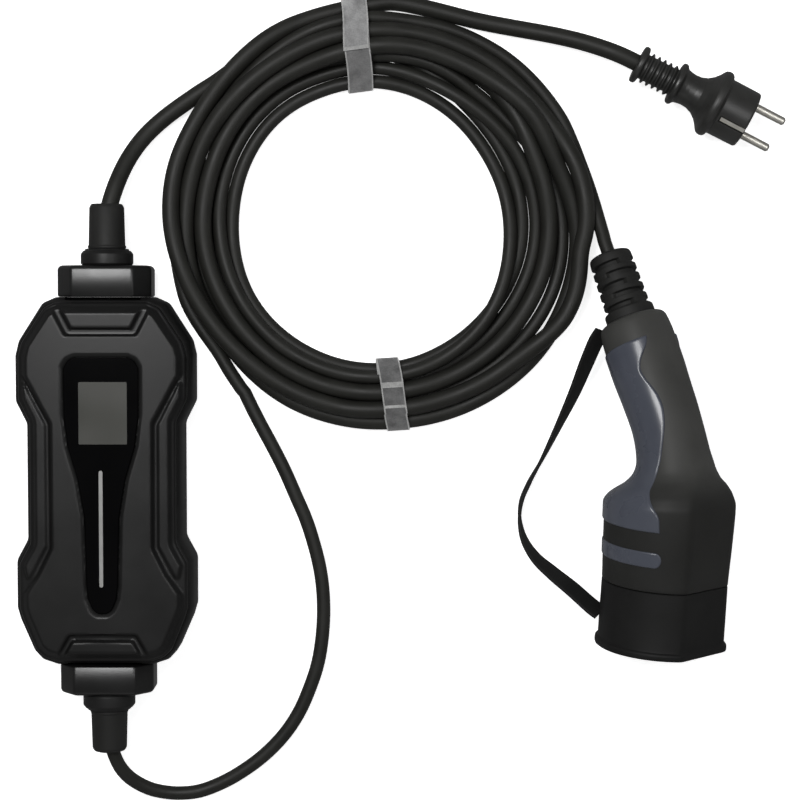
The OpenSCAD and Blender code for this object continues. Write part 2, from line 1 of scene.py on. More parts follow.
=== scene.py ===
"""Portable charging lead with its control box: the looks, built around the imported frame. Millimetres in the code, metres in the meshes."""
import bpy, bmesh, math
import numpy as np
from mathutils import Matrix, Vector


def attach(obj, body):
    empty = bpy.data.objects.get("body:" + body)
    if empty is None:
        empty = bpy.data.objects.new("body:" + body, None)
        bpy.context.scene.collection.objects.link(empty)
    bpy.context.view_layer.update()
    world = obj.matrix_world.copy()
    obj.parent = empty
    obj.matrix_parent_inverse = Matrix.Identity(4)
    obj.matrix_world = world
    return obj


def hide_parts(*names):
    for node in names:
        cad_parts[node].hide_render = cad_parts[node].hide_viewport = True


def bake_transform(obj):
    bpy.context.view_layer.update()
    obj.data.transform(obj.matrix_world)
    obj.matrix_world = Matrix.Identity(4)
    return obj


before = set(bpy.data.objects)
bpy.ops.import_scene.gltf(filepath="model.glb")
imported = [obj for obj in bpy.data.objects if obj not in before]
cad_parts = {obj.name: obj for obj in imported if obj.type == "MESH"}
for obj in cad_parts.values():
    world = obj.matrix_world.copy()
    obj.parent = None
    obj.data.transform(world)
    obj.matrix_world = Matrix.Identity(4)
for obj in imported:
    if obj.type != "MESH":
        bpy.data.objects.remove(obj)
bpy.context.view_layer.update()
scene = bpy.context.scene
col = scene.collection
rad = math.radians

# ------------------------------------------------------------------ camera, light, floor
cam = bpy.data.cameras.new("view")
cam.lens, cam.sensor_width = 90.1, 36
cam_o = bpy.data.objects.new("view", cam)
cam_o.location, cam_o.rotation_euler = (0.17293, 0.10633, 1.2), (-0.04996, 0, 0)
col.objects.link(cam_o)
scene.camera = cam_o
scene.view_settings.view_transform = "Standard"

world = bpy.data.worlds.new("studio")
scene.world = world
world.use_nodes = True
world.node_tree.nodes["Background"].inputs[0].default_value = (1, 1, 1, 1)
world.node_tree.nodes["Background"].inputs[1].default_value = 0.15


def area(name, at, to, size, power):
    d = bpy.data.lights.new(name, "AREA")
    d.shape, d.size, d.size_y, d.energy = "RECTANGLE", size[0], size[1], power
    o = bpy.data.objects.new(name, d)
    o.location = at
    o.rotation_euler = (Vector(to) - Vector(at)).to_track_quat("-Z", "Y").to_euler()
    col.objects.link(o)


area("key", (-0.17, 0.43, 1.25), (0.12, 0.05, 0), (0.45, 0.45), 10)
area("top", (0.66, 0.22, 1.25), (0.4, 0.05, 0), (0.4, 0.5), 2.5)
area("fill", (1.3, 0.35, 1.1), (0.2, 0.05, 0), (0.6, 1.0), 0.6)
area("low", (0.1, -1.3, 0.9), (0.15, 0.0, 0), (1.4, 0.5), 0.8)


# ------------------------------------------------------------------ materials
def material(name, a, b, rough=(0.45, 0.6), scale=45, grain=1800, bump=0.12, spec=0.35, metal=0.0, coat=0.0, coat_rough=0.1,
             sheen=0.0, detail=4.0, stretch=(1, 1, 1), pattern=None, ior=1.5, painted_shade_zone=None):
    m = bpy.data.materials.new(name)
    m.use_nodes = True
    t = m.node_tree
    n, link = t.nodes, t.links.new
    p = n["Principled BSDF"]
    tc = n.new("ShaderNodeTexCoord")
    mp = n.new("ShaderNodeMapping")
    mp.inputs["Scale"].default_value = stretch
    link(tc.outputs["Object"], mp.inputs["Vector"])
    big = n.new("ShaderNodeTexNoise")
    big.inputs["Scale"].default_value, big.inputs["Detail"].default_value, big.inputs["Roughness"].default_value = scale, detail, 0.55
    link(mp.outputs["Vector"], big.inputs["Vector"])
    ramp = n.new("ShaderNodeValToRGB")
    ramp.color_ramp.elements[0].position, ramp.color_ramp.elements[1].position = 0.3, 0.7
    ramp.color_ramp.elements[0].color, ramp.color_ramp.elements[1].color = (*a, 1), (*b, 1)
    link(big.outputs["Fac"], ramp.inputs["Fac"])
    mr = n.new("ShaderNodeMapRange")
    mr.inputs["From Min"].default_value, mr.inputs["From Max"].default_value = 0.3, 0.7
    mr.inputs["To Min"].default_value, mr.inputs["To Max"].default_value = rough
    link(big.outputs["Fac"], mr.inputs["Value"])
    link(mr.outputs["Result"], p.inputs["Roughness"])
    fine = n.new("ShaderNodeTexNoise")
    fine.inputs["Scale"].default_value, fine.inputs["Detail"].default_value = grain, 3.0
    link(mp.outputs["Vector"], fine.inputs["Vector"])
    height = fine.outputs["Fac"]
    if pattern == "loops":
        v = n.new("ShaderNodeTexVoronoi")
        v.inputs["Scale"].default_value = 1150
        link(mp.outputs["Vector"], v.inputs["Vector"])
        height = v.outputs["Distance"]
        mix = n.new("ShaderNodeMix")
        mix.data_type, mix.blend_type = "RGBA", "MULTIPLY"
        mix.inputs["Factor"].default_value = 0.45
        link(ramp.outputs["Color"], mix.inputs["A"])
        shade = n.new("ShaderNodeValToRGB")
        shade.color_ramp.elements[0].color, shade.color_ramp.elements[1].color = (1, 1, 1, 1), (0.45, 0.45, 0.46, 1)
        link(v.outputs["Distance"], shade.inputs["Fac"])
        link(shade.outputs["Color"], mix.inputs["B"])
        link(mix.outputs["Result"], p.inputs["Base Color"])
    elif pattern == "tracks":
        v = n.new("ShaderNodeTexBrick")
        v.inputs["Scale"].default_value = 260
        v.inputs["Color1"].default_value, v.inputs["Color2"].default_value = (*a, 1), (*b, 1)
        v.inputs["Mortar"].default_value = (a[0] * 2.4 + 0.01, a[1] * 1.8, a[2] * 1.6, 1)
        v.inputs["Mortar Size"].default_value = 0.03
        link(mp.outputs["Vector"], v.inputs["Vector"])
        link(v.outputs["Color"], p.inputs["Base Color"])
    elif painted_shade_zone:
        # painted shade: the colour is darker on one side of a line across the piece
        xyz = n.new("ShaderNodeSeparateXYZ")
        link(tc.outputs["Object"], xyz.inputs["Vector"])
        zr = n.new("ShaderNodeMapRange")
        zr.interpolation_type = "SMOOTHSTEP"
        zr.inputs["From Min"].default_value, zr.inputs["From Max"].default_value = painted_shade_zone[0], painted_shade_zone[1]
        zr.inputs["To Min"].default_value = painted_shade_zone[2]
        link(xyz.outputs["Y"], zr.inputs["Value"])
        mix = n.new("ShaderNodeMix")
        mix.data_type, mix.blend_type = "RGBA", "MULTIPLY"
        mix.inputs["Factor"].default_value = 1.0
        link(ramp.outputs["Color"], mix.inputs["A"])
        link(zr.outputs["Result"], mix.inputs["B"])
        link(mix.outputs["Result"], p.inputs["Base Color"])
    else:
        link(ramp.outputs["Color"], p.inputs["Base Color"])
    bm_ = n.new("ShaderNodeBump")
    bm_.inputs["Strength"].default_value, bm_.inputs["Distance"].default_value = bump, 0.0003
    link(height, bm_.inputs["Height"])
    link(bm_.outputs["Normal"], p.inputs["Normal"])
    p.inputs["Specular IOR Level"].default_value = spec
    p.inputs["Metallic"].default_value = metal
    p.inputs["Coat Weight"].default_value = coat
    p.inputs["Coat Roughness"].default_value = coat_rough
    p.inputs["Sheen Weight"].default_value = sheen
    p.inputs["IOR"].default_value = ior
    return m


M = {
    "satin": material("satin shell", (0.0055, 0.0055, 0.0055), (0.0080, 0.0080, 0.0079), (0.34, 0.41), 30, 2600, 0.10, 0.34),
    "black": material("black shell", (0.006, 0.006, 0.006), (0.010, 0.010, 0.010), (0.42, 0.55), 35, 2400, 0.12, 0.22),
    "gasket": material("gasket rubber", (0.004, 0.004, 0.004), (0.008, 0.008, 0.008), (0.7, 0.85), 60, 1500, 0.2, 0.2),
    "steel": material("screw steel", (0.36, 0.36, 0.35), (0.48, 0.48, 0.46), (0.25, 0.4), 300, 3000, 0.1, 0.5, 1.0),
    "lens": material("lens black", (0.0012, 0.0012, 0.0014), (0.0022, 0.0022, 0.0024), (0.06, 0.10), 18, 900, 0.006, 0.12),
    "lcd": material("display grey", (0.062, 0.063, 0.056), (0.094, 0.094, 0.088), (0.16, 0.22), 22, 3200, 0.02, 0.2, detail=1.0),
    "guide": material("light guide", (0.30, 0.30, 0.29), (0.37, 0.37, 0.36), (0.3, 0.42), 80, 1500, 0.05, 0.4),
    "pcb": material("board green", (0.010, 0.075, 0.030), (0.016, 0.10, 0.04), (0.35, 0.5), 120, 1500, 0.1, 0.4, pattern="tracks"),
    "relay": material("relay blue", (0.016, 0.045, 0.12), (0.022, 0.06, 0.15), (0.3, 0.4), 90, 2000, 0.08),
    "ferrite": material("ferrite brown", (0.05, 0.018, 0.008), (0.075, 0.028, 0.012), (0.5, 0.7), 150, 2500, 0.2),
    "tape": material("winding tape", (0.5, 0.33, 0.05), (0.6, 0.4, 0.07), (0.35, 0.5), 70, 900, 0.15, stretch=(1, 1, 6)),
    "can": material("capacitor can", (0.02, 0.025, 0.05), (0.03, 0.035, 0.065), (0.25, 0.4), 90, 2000, 0.05),
    "terminal": material("terminal green", (0.02, 0.15, 0.055), (0.03, 0.19, 0.07), (0.4, 0.55), 110, 1800, 0.1),
    "brown": material("wire brown", (0.10, 0.045, 0.015), (0.14, 0.06, 0.02), (0.35, 0.5), 140, 1800, 0.08),
    "blue": material("wire blue", (0.02, 0.06, 0.22), (0.03, 0.08, 0.28), (0.35, 0.5), 140, 1800, 0.08),
    "block": material("end block", (0.005, 0.005, 0.005), (0.0075, 0.0075, 0.0074), (0.28, 0.34), 40, 2400, 0.08, 0.56),
    "nut": material("gland nut", (0.008, 0.008, 0.008), (0.012, 0.012, 0.012), (0.4, 0.52), 45, 2200, 0.10, 0.3),
    "boot": material("boot rubber", (0.011, 0.011, 0.0105), (0.016, 0.016, 0.015), (0.55, 0.7), 40, 1500, 0.16, 0.3),
    "mains": material("mains jacket", (0.013, 0.013, 0.0112), (0.019, 0.019, 0.0164), (0.46, 0.6), 55, 1300, 0.16, 0.3),
    "vehicle": material("vehicle jacket", (0.013, 0.013, 0.0113), (0.019, 0.019, 0.0165), (0.44, 0.58), 60, 1400, 0.14, 0.3),
    "strap": material("hook and loop", (0.22, 0.22, 0.22), (0.42, 0.42, 0.42), (0.8, 0.95), 120, 1100, 0.6, 0.15, sheen=0.3, pattern="loops"),
    "strap_under": material("hook and loop under", (0.125, 0.125, 0.125), (0.235, 0.235, 0.235), (0.8, 0.95), 120, 1100, 0.6, 0.15, sheen=0.25, pattern="loops"),
    "strap_dark": material("hook and loop dark", (0.095, 0.095, 0.095), (0.205, 0.205, 0.205), (0.8, 0.95), 120, 1100, 0.6, 0.12, sheen=0.2, pattern="loops"),
    "strap_worn": material("hook and loop worn", (0.36, 0.36, 0.355), (0.52, 0.52, 0.51), (0.75, 0.9), 220, 1300, 0.5, 0.15, sheen=0.3, pattern="loops"),
    "plug": material("plug rubber", (0.017, 0.017, 0.016), (0.026, 0.026, 0.0245), (0.34, 0.43), 50, 1500, 0.10, 0.55),
    "nickel": material("nickel", (0.70, 0.68, 0.62), (0.78, 0.76, 0.70), (0.36, 0.5), 260, 2600, 0.06, 0.5, 1.0),
    "contact": material("contact metal", (0.60, 0.52, 0.36), (0.68, 0.60, 0.42), (0.2, 0.32), 260, 2600, 0.06, 0.5, 1.0),
    # painted shade: the connector's head end is darkened to 0.36 of its colour
    "body": material("connector black", (0.042, 0.042, 0.0395), (0.054, 0.054, 0.051), (0.46, 0.56), 32, 2300, 0.12, 0.24,
                     painted_shade_zone=(-0.012, 0.014, 0.36)),
    "insert": material("insert gloss", (0.060, 0.066, 0.085), (0.075, 0.082, 0.103), (0.24, 0.32), 26, 900, 0.02, 0.4, coat=0.2, coat_rough=0.14),
    "nose": material("nose black", (0.008, 0.008, 0.008), (0.013, 0.013, 0.013), (0.4, 0.52), 60, 2000, 0.1, 0.35),
    "clamp": material("clamp grey", (0.10, 0.10, 0.10), (0.14, 0.14, 0.14), (0.4, 0.55), 90, 2000, 0.1),
    "cap": material("cap rubber", (0.008, 0.008, 0.008), (0.012, 0.012, 0.0118), (0.52, 0.64), 36, 1600, 0.15, 0.18),
}
for node, key in {
    "shell_gasket": "gasket", "housing_screws": "steel", "lcd_module": "lcd", "light_guide": "guide", "display_board": "pcb",
    "main_board": "pcb", "board_screws": "steel", "power_relays": "relay", "leakage_sensor": "ferrite", "supply_transformer": "tape",
    "filter_capacitors": "can", "mains_terminal": "terminal", "vehicle_terminal": "terminal", "mains_wires": "brown",
    "vehicle_wires": "blue", "plug_pins": "nickel", "plug_earth_contacts": "nickel", "nose_shell": "nose", "contact_carrier": "nose",
    "power_contacts": "contact", "pilot_contacts": "contact", "cord_clamp": "clamp", "clamp_screws": "steel", "connector_wires": "blue",
}.items():
    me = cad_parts[node].data
    me.materials.clear()
    me.materials.append(M[key])

fl = bpy.data.meshes.new("floor")
fl.from_pydata([(-30, -30, -0.0004), (30, -30, -0.0004), (30, 30, -0.0004), (-30, 30, -0.0004)], [], [(0, 1, 2, 3)])
floor = bpy.data.objects.new("floor", fl)
col.objects.link(floor)
fm = bpy.data.materials.new("floor")
fm.use_nodes = True
fp = fm.node_tree.nodes["Principled BSDF"]
fp.inputs["Base Color"].default_value = (0.94, 0.94, 0.94, 1)
fp.inputs["Roughness"].default_value = 0.9
fp.inputs["Specular IOR Level"].default_value = 0.0
fp.inputs["Emission Color"].default_value = (1, 1, 1, 1)
fp.inputs["Emission Strength"].default_value = 0.78
fl.materials.append(fm)
floor.visible_glossy = False


# ------------------------------------------------------------------ mesh helpers
def add(name, verts, faces, mats, replaces=(), body="root", sharp=32, ride=True, which=None):
    """A piece from points in millimetres, with its faces turned outward."""
    me = bpy.data.meshes.new(name)
    me.from_pydata([tuple(float(c) / 1000 for c in v) for v in verts], [], [tuple(int(i) for i in f) for f in faces])
    mats = [mats] if isinstance(mats, str) else mats
    for k in mats:
        me.materials.append(M[k])
    if which is not None:
        me.polygons.foreach_set("material_index", np.array(which, dtype=np.int32))
    b = bmesh.new()
    b.from_mesh(me)
    bmesh.ops.recalc_face_normals(b, faces=b.faces)
    b.to_mesh(me)
    b.free()
    me.update()
    me.polygons.foreach_set("use_smooth", [True] * len(me.polygons))
    me.set_sharp_from_angle(angle=rad(sharp))
    o = bpy.data.objects.new(name, me)
    col.objects.link(o)
    if ride:
        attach(o, body)
    if replaces:
        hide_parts(*replaces)
    return o


def loft(rings, caps=True, closed=False):
    """Faces over rings of equal length; closed joins the last ring to the first."""
    n, m = len(rings[0]), len(rings)
    v = np.concatenate([np.asarray(r, float) for r in rings])
    f = []
    for i in range(m if closed else m - 1):
        j = (i + 1) % m
        for k in range(n):
            l = (k + 1) % n
            f.append((i * n + k, i * n + l, j * n + l, j * n + k))
    if caps and not closed:
        f.append(tuple(range(n - 1, -1, -1)))
        f.append(tuple((m - 1) * n + k for k in range(n)))
    return v, f


def rounded(pts, r, k=5, closed=True):
    """The polygon with each corner rounded to about radius r; k + 1 points a corner."""
    p = np.asarray(pts, float)
    if closed:
        p = p[np.linalg.norm(p - np.roll(p, 1, 0), axis=1) > 1e-6]
    n = len(p)
    out = []
    for i in range(n):
        if not closed and i in (0, n - 1):
            out.append(p[i])
            continue
        a, c, b = p[i - 1], p[i], p[(i + 1) % n]
        da, db = a - c, b - c
        la, lb = np.linalg.norm(da), np.linalg.norm(db)
        cosang = np.clip(da @ db / (la * lb), -1, 1)
        half = (math.pi - math.acos(cosang)) / 2
        ri = r[i] if hasattr(r, "__len__") else r
        t = min(ri * math.tan(half), 0.46 * la, 0.46 * lb)
        s, e = c + da / la * t, c + db / lb * t
        for q in range(k + 1):
            u = q / k
            out.append((1 - u) ** 2 * s + 2 * u * (1 - u) * c + u * u * e)
    return np.array(out)


def lathe(prof, n=72, ring=False, turn=0.0):
    """Revolve (radius, height) points about Z. ring: the profile is closed and clear of the axis; else it starts and ends on the axis."""
    prof = np.asarray(prof, float)
    ang = np.linspace(0, 2 * math.pi, n, endpoint=False) + turn
    c, s = np.cos(ang), np.sin(ang)
    if ring:
        return loft([np.stack([r * c, r * s, np.full(n, z)], 1) for r, z in prof], closed=True)
    v, f = loft([np.stack([r * c, r * s, np.full(n, z)], 1) for r, z in prof[1:-1]], caps=False)
    m = len(prof) - 2
    v = np.vstack([v, [[0, 0, prof[0][1]], [0, 0, prof[-1][1]]]])
    a, b = len(v) - 2, len(v) - 1
    for k in range(n):
        l = (k + 1) % n
        f.append((a, l, k))
        f.append((b, (m - 1) * n + k, (m - 1) * n + l))
    return v, f


def rot(ax, deg):
    c, s = math.cos(rad(deg)), math.sin(rad(deg))
    return np.array({"x": [[1, 0, 0], [0, c, -s], [0, s, c]], "y": [[c, 0, s], [0, 1, 0], [-s, 0, c]], "z": [[c, -s, 0], [s, c, 0], [0, 0, 1]]}[ax])


def pchip(xs, ys, x):
    """Smooth curve through given points without overshoot."""
    xs, ys, x = np.array(xs, float), np.array(ys, float), np.asarray(x, float)
    h = np.diff(xs)
    d = np.diff(ys) / h
    m = np.zeros_like(ys)
    m[0], m[-1] = d[0], d[-1]
    for i in range(1, len(xs) - 1):
        if d[i - 1] * d[i] > 0:
            w1, w2 = 2 * h[i] + h[i - 1], h[i] + 2 * h[i - 1]
            m[i] = (w1 + w2) / (w1 / d[i - 1] + w2 / d[i])
    k = np.clip(np.searchsorted(xs, x) - 1, 0, len(xs) - 2)
    t = np.clip((x - xs[k]) / h[k], 0, 1)
    return (1 + 2 * t) * (1 - t) ** 2 * ys[k] + t * (1 - t) ** 2 * h[k] * m[k] + t * t * (3 - 2 * t) * ys[k + 1] + t * t * (t - 1) * h[k] * m[k + 1]


def ss(t):
    t = np.clip(t, 0, 1)
    return t * t * (3 - 2 * t)


def cut(obj, tools):
    """Take closed shapes (verts, faces in millimetres) out of a piece."""
    for i, (v, f) in enumerate(tools):
        me = bpy.data.meshes.new("tool")
        me.from_pydata([tuple(float(c) / 1000 for c in p) for p in v], [], [tuple(q) for q in f])
        b = bmesh.new()
        b.from_mesh(me)
        bmesh.ops.recalc_face_normals(b, faces=b.faces)
        b.to_mesh(me)
        b.free()
        t = bpy.data.objects.new("tool", me)
        col.objects.link(t)
        md = obj.modifiers.new("cut", "BOOLEAN")
        md.operation, md.solver, md.object = "DIFFERENCE", "EXACT", t
        dg = bpy.context.evaluated_depsgraph_get()
        new = bpy.data.meshes.new_from_object(obj.evaluated_get(dg), depsgraph=dg)
        obj.modifiers.remove(md)
        obj.data = new
        bpy.data.objects.remove(t)
    return obj


def prism(poly, z0, z1):
    p = np.asarray(poly, float)
    return loft([np.column_stack([p, np.full(len(p), z)]) for z in (z0, z1)])


def circle(r, n=32):
    a = np.linspace(0, 2 * math.pi, n, endpoint=False)
    return np.stack([r * np.cos(a), r * np.sin(a)], 1)


# ------------------------------------------------------------------ the connector's own frame
HEAD = np.array([326.8, -57, 41.9])
RC = rot("z", -3) @ rot("x", 5) @ rot("y", 45)


def con(p):
    return HEAD + np.asarray(p, float) @ RC.T


ARC_R, ARC_L = 126.0, 126.0 * rad(29)


def tilt_at(s):
    return min(max(s - 40, 0), ARC_L) / ARC_R


def line_at(s):
    t, f = tilt_at(s), max(s - 40 - ARC_L, 0)
    u = min(max((s - 48) / 24, 0), 1)
    rise = 5 * u * u * (3 - 2 * u)
    return np.array([0, min(s, 40) + ARC_R * math.sin(t) + f * math.cos(t), rise - ARC_R * (1 - math.cos(t)) - f * math.sin(t)])


def on_line(s, x, z):
    t = tilt_at(s)
    return line_at(s) + np.stack([x, z * math.sin(t), z * math.cos(t)], -1)


# ------------------------------------------------------------------ cords
CC = np.array([161.5, 154.5])
MAINS_D, VEH_D = 10.2, 8.2
STRAPS = (97.5, 273.5)
mains_box = [[1, 102.6, 22], [1, 130, 22], [1, 150, 22], [1.6, 157, 22], [3.2, 164, 21.4], [5.4, 171.5, 19.6], [8, 179, 16.9], [11.2, 186.5, 14],
    [15, 193.5, 11.2], [19.8, 200.5, 8.6], [26, 207.5, 6.6], [34.5, 215, 5.5], [44.5, 222.3, 5.2], [53, 228, 5.2]]
mains_plug = [[219, 271, 5.2], [232, 268.5, 5.4], [244, 266.2, 6.4], [256, 263.8, 8.5], [268, 261, 11.6], [280, 257.6, 15], [291, 253.8, 18],
    [301, 249.8, 20], [311, 245, 20.6], [327, 236.8, 20.6]]
veh_box = [[.5, -102.6, 22], [.5, -130, 22], [.5, -146, 22], [.8, -153, 22], [1.8, -159.5, 21.4], [3.6, -166.3, 19.6], [6.4, -173, 16.9],
    [10.5, -178.8, 13.8], [16, -183.6, 10.8], [23, -187.6, 8.2], [31, -190, 6], [40, -191, 4.8], [52, -189.8, 4.3], [67, -184, 4.2], [80, -176.3, 4.2],
    [92, -167, 4.2], [103, -155.5, 4.2], [112, -142, 4.2], [119, -126, 4.2], [123.5, -112, 4.2], [126, -97, 4.2], [127, -82, 4.2], [126.5, -67, 4.2],
    [124.5, -53, 4.2], [121, -39, 4.2], [116.5, -25, 4.2], [110.5, -11, 4.2], [104, 4, 4.2], [97, 18, 4.2], [89.5, 32, 4.2], [82, 47, 4.2],
    [74.5, 64, 4.2], [68, 82, 4.2]]
veh_con = [[281, 177, 5.6], [285.2, 166, 8.2], [289, 154.5, 11.6], [292.7, 143.5, 14.6]] + [con(line_at(s)).tolist() for s in (199.5, 180, 160, 146, 128)]
# turns in the coil: degrees swept clockwise, radius, height
M0, V0 = 142, 226
M_TAB = [(2, 126.5, 5.1), (16, 120.5, 5.1), (38, 115.5, 5.1), (80, 109.5, 6), (140, 101.2, 11), (172, 99, 13.5), (220, 99.5, 14), (280, 101, 14),
    (322, 102, 14), (360, 103, 14), (450, 107, 14), (480, 108.5, 14.5), (505, 112.5, 14.5), (540, 118, 14.5), (580, 123.5, 14.5), (620, 123.5, 14.5), (652, 117.5, 14.5), (682, 112.5, 14.5), (720, 113, 14.5), (790, 113.5, 15),
    (832, 115, 19), (850, 118.2, 22.5), (868, 122, 25), (886, 122, 24), (908, 115.5, 18), (930, 113.8, 17), (948, 116, 17), (965, 121, 17), (1000, 118.5, 21),
    (1030, 119, 21), (1060, 121, 18), (1085, 120.8, 15.8), (1105, 120.8, 13), (1125, 123.8, 8.5), (1138, 127.8, 6)]
V_TAB = [(23, 118.5, 4.2), (35, 119.5, 4.2), (48, 120.5, 4.2), (70, 118.5, 4.2), (100, 112, 4.2), (150, 99, 4.2), (176, 91.7, 4.2), (212, 88.8, 4.2), (270, 86.5, 4.2), (360, 85, 4.2), (450, 85.3, 4.2),
    (540, 85.6, 4.6), (585, 86, 8), (630, 88, 12), (680, 89, 12.2), (720, 90, 12.2), (800, 91.8, 12), (850, 93.3, 12), (890, 92.6, 12), (930, 95, 9.5), (965, 95.8, 5.5),
    (1000, 95.5, 4.2), (1080, 95.5, 4.2), (1120, 97, 4.2), (1170, 100, 5), (1200, 102.3, 8.5), (1230, 105.3, 11.5), (1270, 105.8, 6.5), (1290, 106.3, 4.4),
    (1312, 109, 4.2), (1350, 109.4, 4.2), (1390, 108, 4.2), (1440, 108, 4.2), (1480, 112, 5.5), (1505, 116, 9), (1530, 119, 12.5), (1555, 121.5, 14.5), (1575, 124, 17), (1592, 124, 16),
    (1610, 122.5, 12), (1630, 119.8, 6.8), (1645, 118, 4.6)]


def turns(tab, a0, step):
    u = np.arange(tab[0][0], tab[-1][0] + .01, step)
    r = pchip([q[0] for q in tab], [q[1] for q in tab], u)
    z = pchip([q[0] for q in tab], [q[2] for q in tab], u)
    th = np.radians(a0 - u)
    # loose lay: the bundle wanders slowly off a true circle
    r = r + 1.0 * np.sin(2 * th + .6) + .7 * np.sin(3 * th + 2.)
    # the bundle is narrow below and on the box's side, and its outer turns reach towards the connector
    k = np.clip((127 - r) / 42, 0, 1)
    fade = ss(np.minimum(u - u[0], u[-1] - u) / 60)
    r = r + fade * (k * (1.3 + 1.2 * np.cos(th - rad(205)) - 2.2 * np.cos(2 * th - rad(50))) + (1 - k) * (-2.4 + 4.1 * np.cos(th - rad(350)) + 4.7 * np.cos(2 * th - rad(330))))
    # the inner turns sit nearer the box and the lower side
    return np.stack([CC[0] - 6.8 * k + r * np.cos(th), CC[1] - 4.2 * k + r * np.sin(th), z], 1)


def catmull(P, n=10):
    P = np.array(P, float)
    P = np.vstack([2 * P[0] - P[1], P, 2 * P[-1] - P[-2]])
    out = []
    for i in range(1, len(P) - 2):
        p0, p1, p2, p3 = P[i - 1:i + 3]
        a, b, c = np.linalg.norm(p1 - p0) ** .5, np.linalg.norm(p2 - p1) ** .5, np.linalg.norm(p3 - p2) ** .5
        t1 = b * ((p1 - p0) / a - (p2 - p0) / (a + b) + (p2 - p1) / b)
        t2 = b * ((p2 - p1) / b - (p3 - p1) / (b + c) + (p3 - p2) / c)
        for k in range(n):
            t = k / n
            out.append((2 * t ** 3 - 3 * t * t + 1) * p1 + (t ** 3 - 2 * t * t + t) * t1 + (-2 * t ** 3 + 3 * t * t) * p2 + (t ** 3 - t * t) * t2)
    out.append(P[-2])
    return np.array(out)


def resample(P, ds):
    s = np.r_[0, np.cumsum(np.linalg.norm(np.diff(P, axis=0), axis=1))]
    q = np.linspace(0, s[-1], int(round(s[-1] / ds)) + 1)
    return np.stack([np.interp(q, s, P[:, k]) for k in range(P.shape[1])], 1)


def lay(ds=3.5, iters=420):
    """Settle the two cords: no strand lies in another, the floor, a strap's lower run or the connector's boot."""
    Mc = resample(catmull(mains_box + turns(M_TAB, M0, 6).tolist() + mains_plug), ds)
    Vc = resample(catmull(veh_box + turns(V_TAB, V0, 6).tolist() + veh_con), ds)
    X0 = np.vstack([Mc, Vc])
    nM, N = len(Mc), len(X0)
    cid = np.r_[np.zeros(nM, int), np.ones(len(Vc), int)]
    idx = np.arange(N)
    rd = np.where(cid == 0, MAINS_D / 2, VEH_D / 2)
    free = np.ones(N)
    free[np.hypot(X0[:, 0] - CC[0], X0[:, 1] - CC[1]) > 131.5] = 0
    d = np.full(N, 1e9)
    for a, b in ((0, nM), (nM, N)):
        pins = np.where(free[a:b] == 0)[0]
        for i in np.where(free[a:b] > 0)[0]:
            d[a + i] = np.abs(pins - i).min() * ds
    free = np.where(free > 0, np.clip(d / 45, 0.02, 1), 0)
    # the straps' lower runs lift the bundle a little
    th = np.arctan2(X0[:, 1] - CC[1], X0[:, 0] - CC[0])
    rr = np.hypot(X0[:, 0] - CC[0], X0[:, 1] - CC[1])
    lift = np.zeros(N)
    for a in STRAPS:
        w = np.abs((th - rad(a) + math.pi) % (2 * math.pi) - math.pi) * rr
        u = np.clip((34 - w) / 24, 0, 1)
        lift = np.maximum(lift, 1.5 * u * u * (3 - 2 * u))
    lift = np.where(rr < 131.5, lift, 0)
    X0 = X0 + np.stack([lift * 0, lift * 0, lift * (free > 0.2)], 1)
    X = X0.copy()
    ba, bb = con(line_at(199.5)), con(line_at(158))
    ab = bb - ba
    for it in range(iters):
        if it % 20 == 0:
            D2 = ((X[:, None, :] - X[None, :, :]) ** 2).sum(-1)
            I, J = np.where(np.triu(D2 < 20 ** 2, 1))
            keep = (cid[I] != cid[J]) | (np.abs(I - J) * ds > 30)
            I, J = I[keep], J[keep]
        X[:, 2] -= (0.10 if it < iters * .7 else 0.03) * np.minimum(free, 1)
        X[:, :2] += 0.015 * (X0[:, :2] - X[:, :2])
        for _ in range(3):
            dv = X[I] - X[J]
            L = np.maximum(np.linalg.norm(dv, axis=1), 1e-6)
            o = rd[I] + rd[J] + .08 - L
            k = o > 0
            i, j = I[k], J[k]
            c = (dv[k] / L[k][:, None]) * o[k][:, None]
            wi, wj = free[i], free[j]
            w = wi + wj + 1e-9
            acc, cnt = np.zeros_like(X), np.zeros(N)
            np.add.at(acc, i, c * (wi / w)[:, None])
            np.add.at(acc, j, -c * (wj / w)[:, None])
            np.add.at(cnt, i, 1)
            np.add.at(cnt, j, 1)
            X += acc / np.maximum(cnt, 1)[:, None] * 1.1
            t = np.clip(((X - ba) @ ab) / (ab @ ab), 0, 1)
            dv = X - (ba + t[:, None] * ab)
            L = np.linalg.norm(dv, axis=1)
            o = np.maximum(12.6 + rd - L, 0) * (free > 0.2) * ((cid == 0) | (idx < N - 40))
            X += dv / np.maximum(L, 1e-6)[:, None] * o[:, None] * .6
            X[:, 2] = np.maximum(X[:, 2], np.where(free > 0, rd + .05 + lift * np.clip(free, 0, 1), -99))
        Dp = X - X0
        for a, b in ((0, nM), (nM, N)):
            q = Dp[a:b]
            for _ in range(5):
                q[1:-1] = .25 * q[:-2] + .5 * q[1:-1] + .25 * q[2:]
            Dp[a:b] = q
        X = X0 + Dp
        X[free == 0] = X0[free == 0]
    return X[:nM], X[nM:]


mains_line, vehicle_line = lay()


def cord_curve(name, P, d, mat, nodes):
    cu = bpy.data.curves.new(name, "CURVE")
    cu.dimensions, cu.bevel_depth, cu.bevel_resolution, cu.use_fill_caps = "3D", d / 2000, 4, True
    sp = cu.splines.new("POLY")
    sp.points.add(len(P) - 1)
    sp.points.foreach_set("co", np.column_stack([P / 1000, np.ones(len(P))]).ravel())
    sp.use_smooth = True
    cu.materials.append(M[mat])
    o = bpy.data.objects.new(name, cu)
    col.objects.link(o)
    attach(o, "root")
    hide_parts(*nodes)
    return o


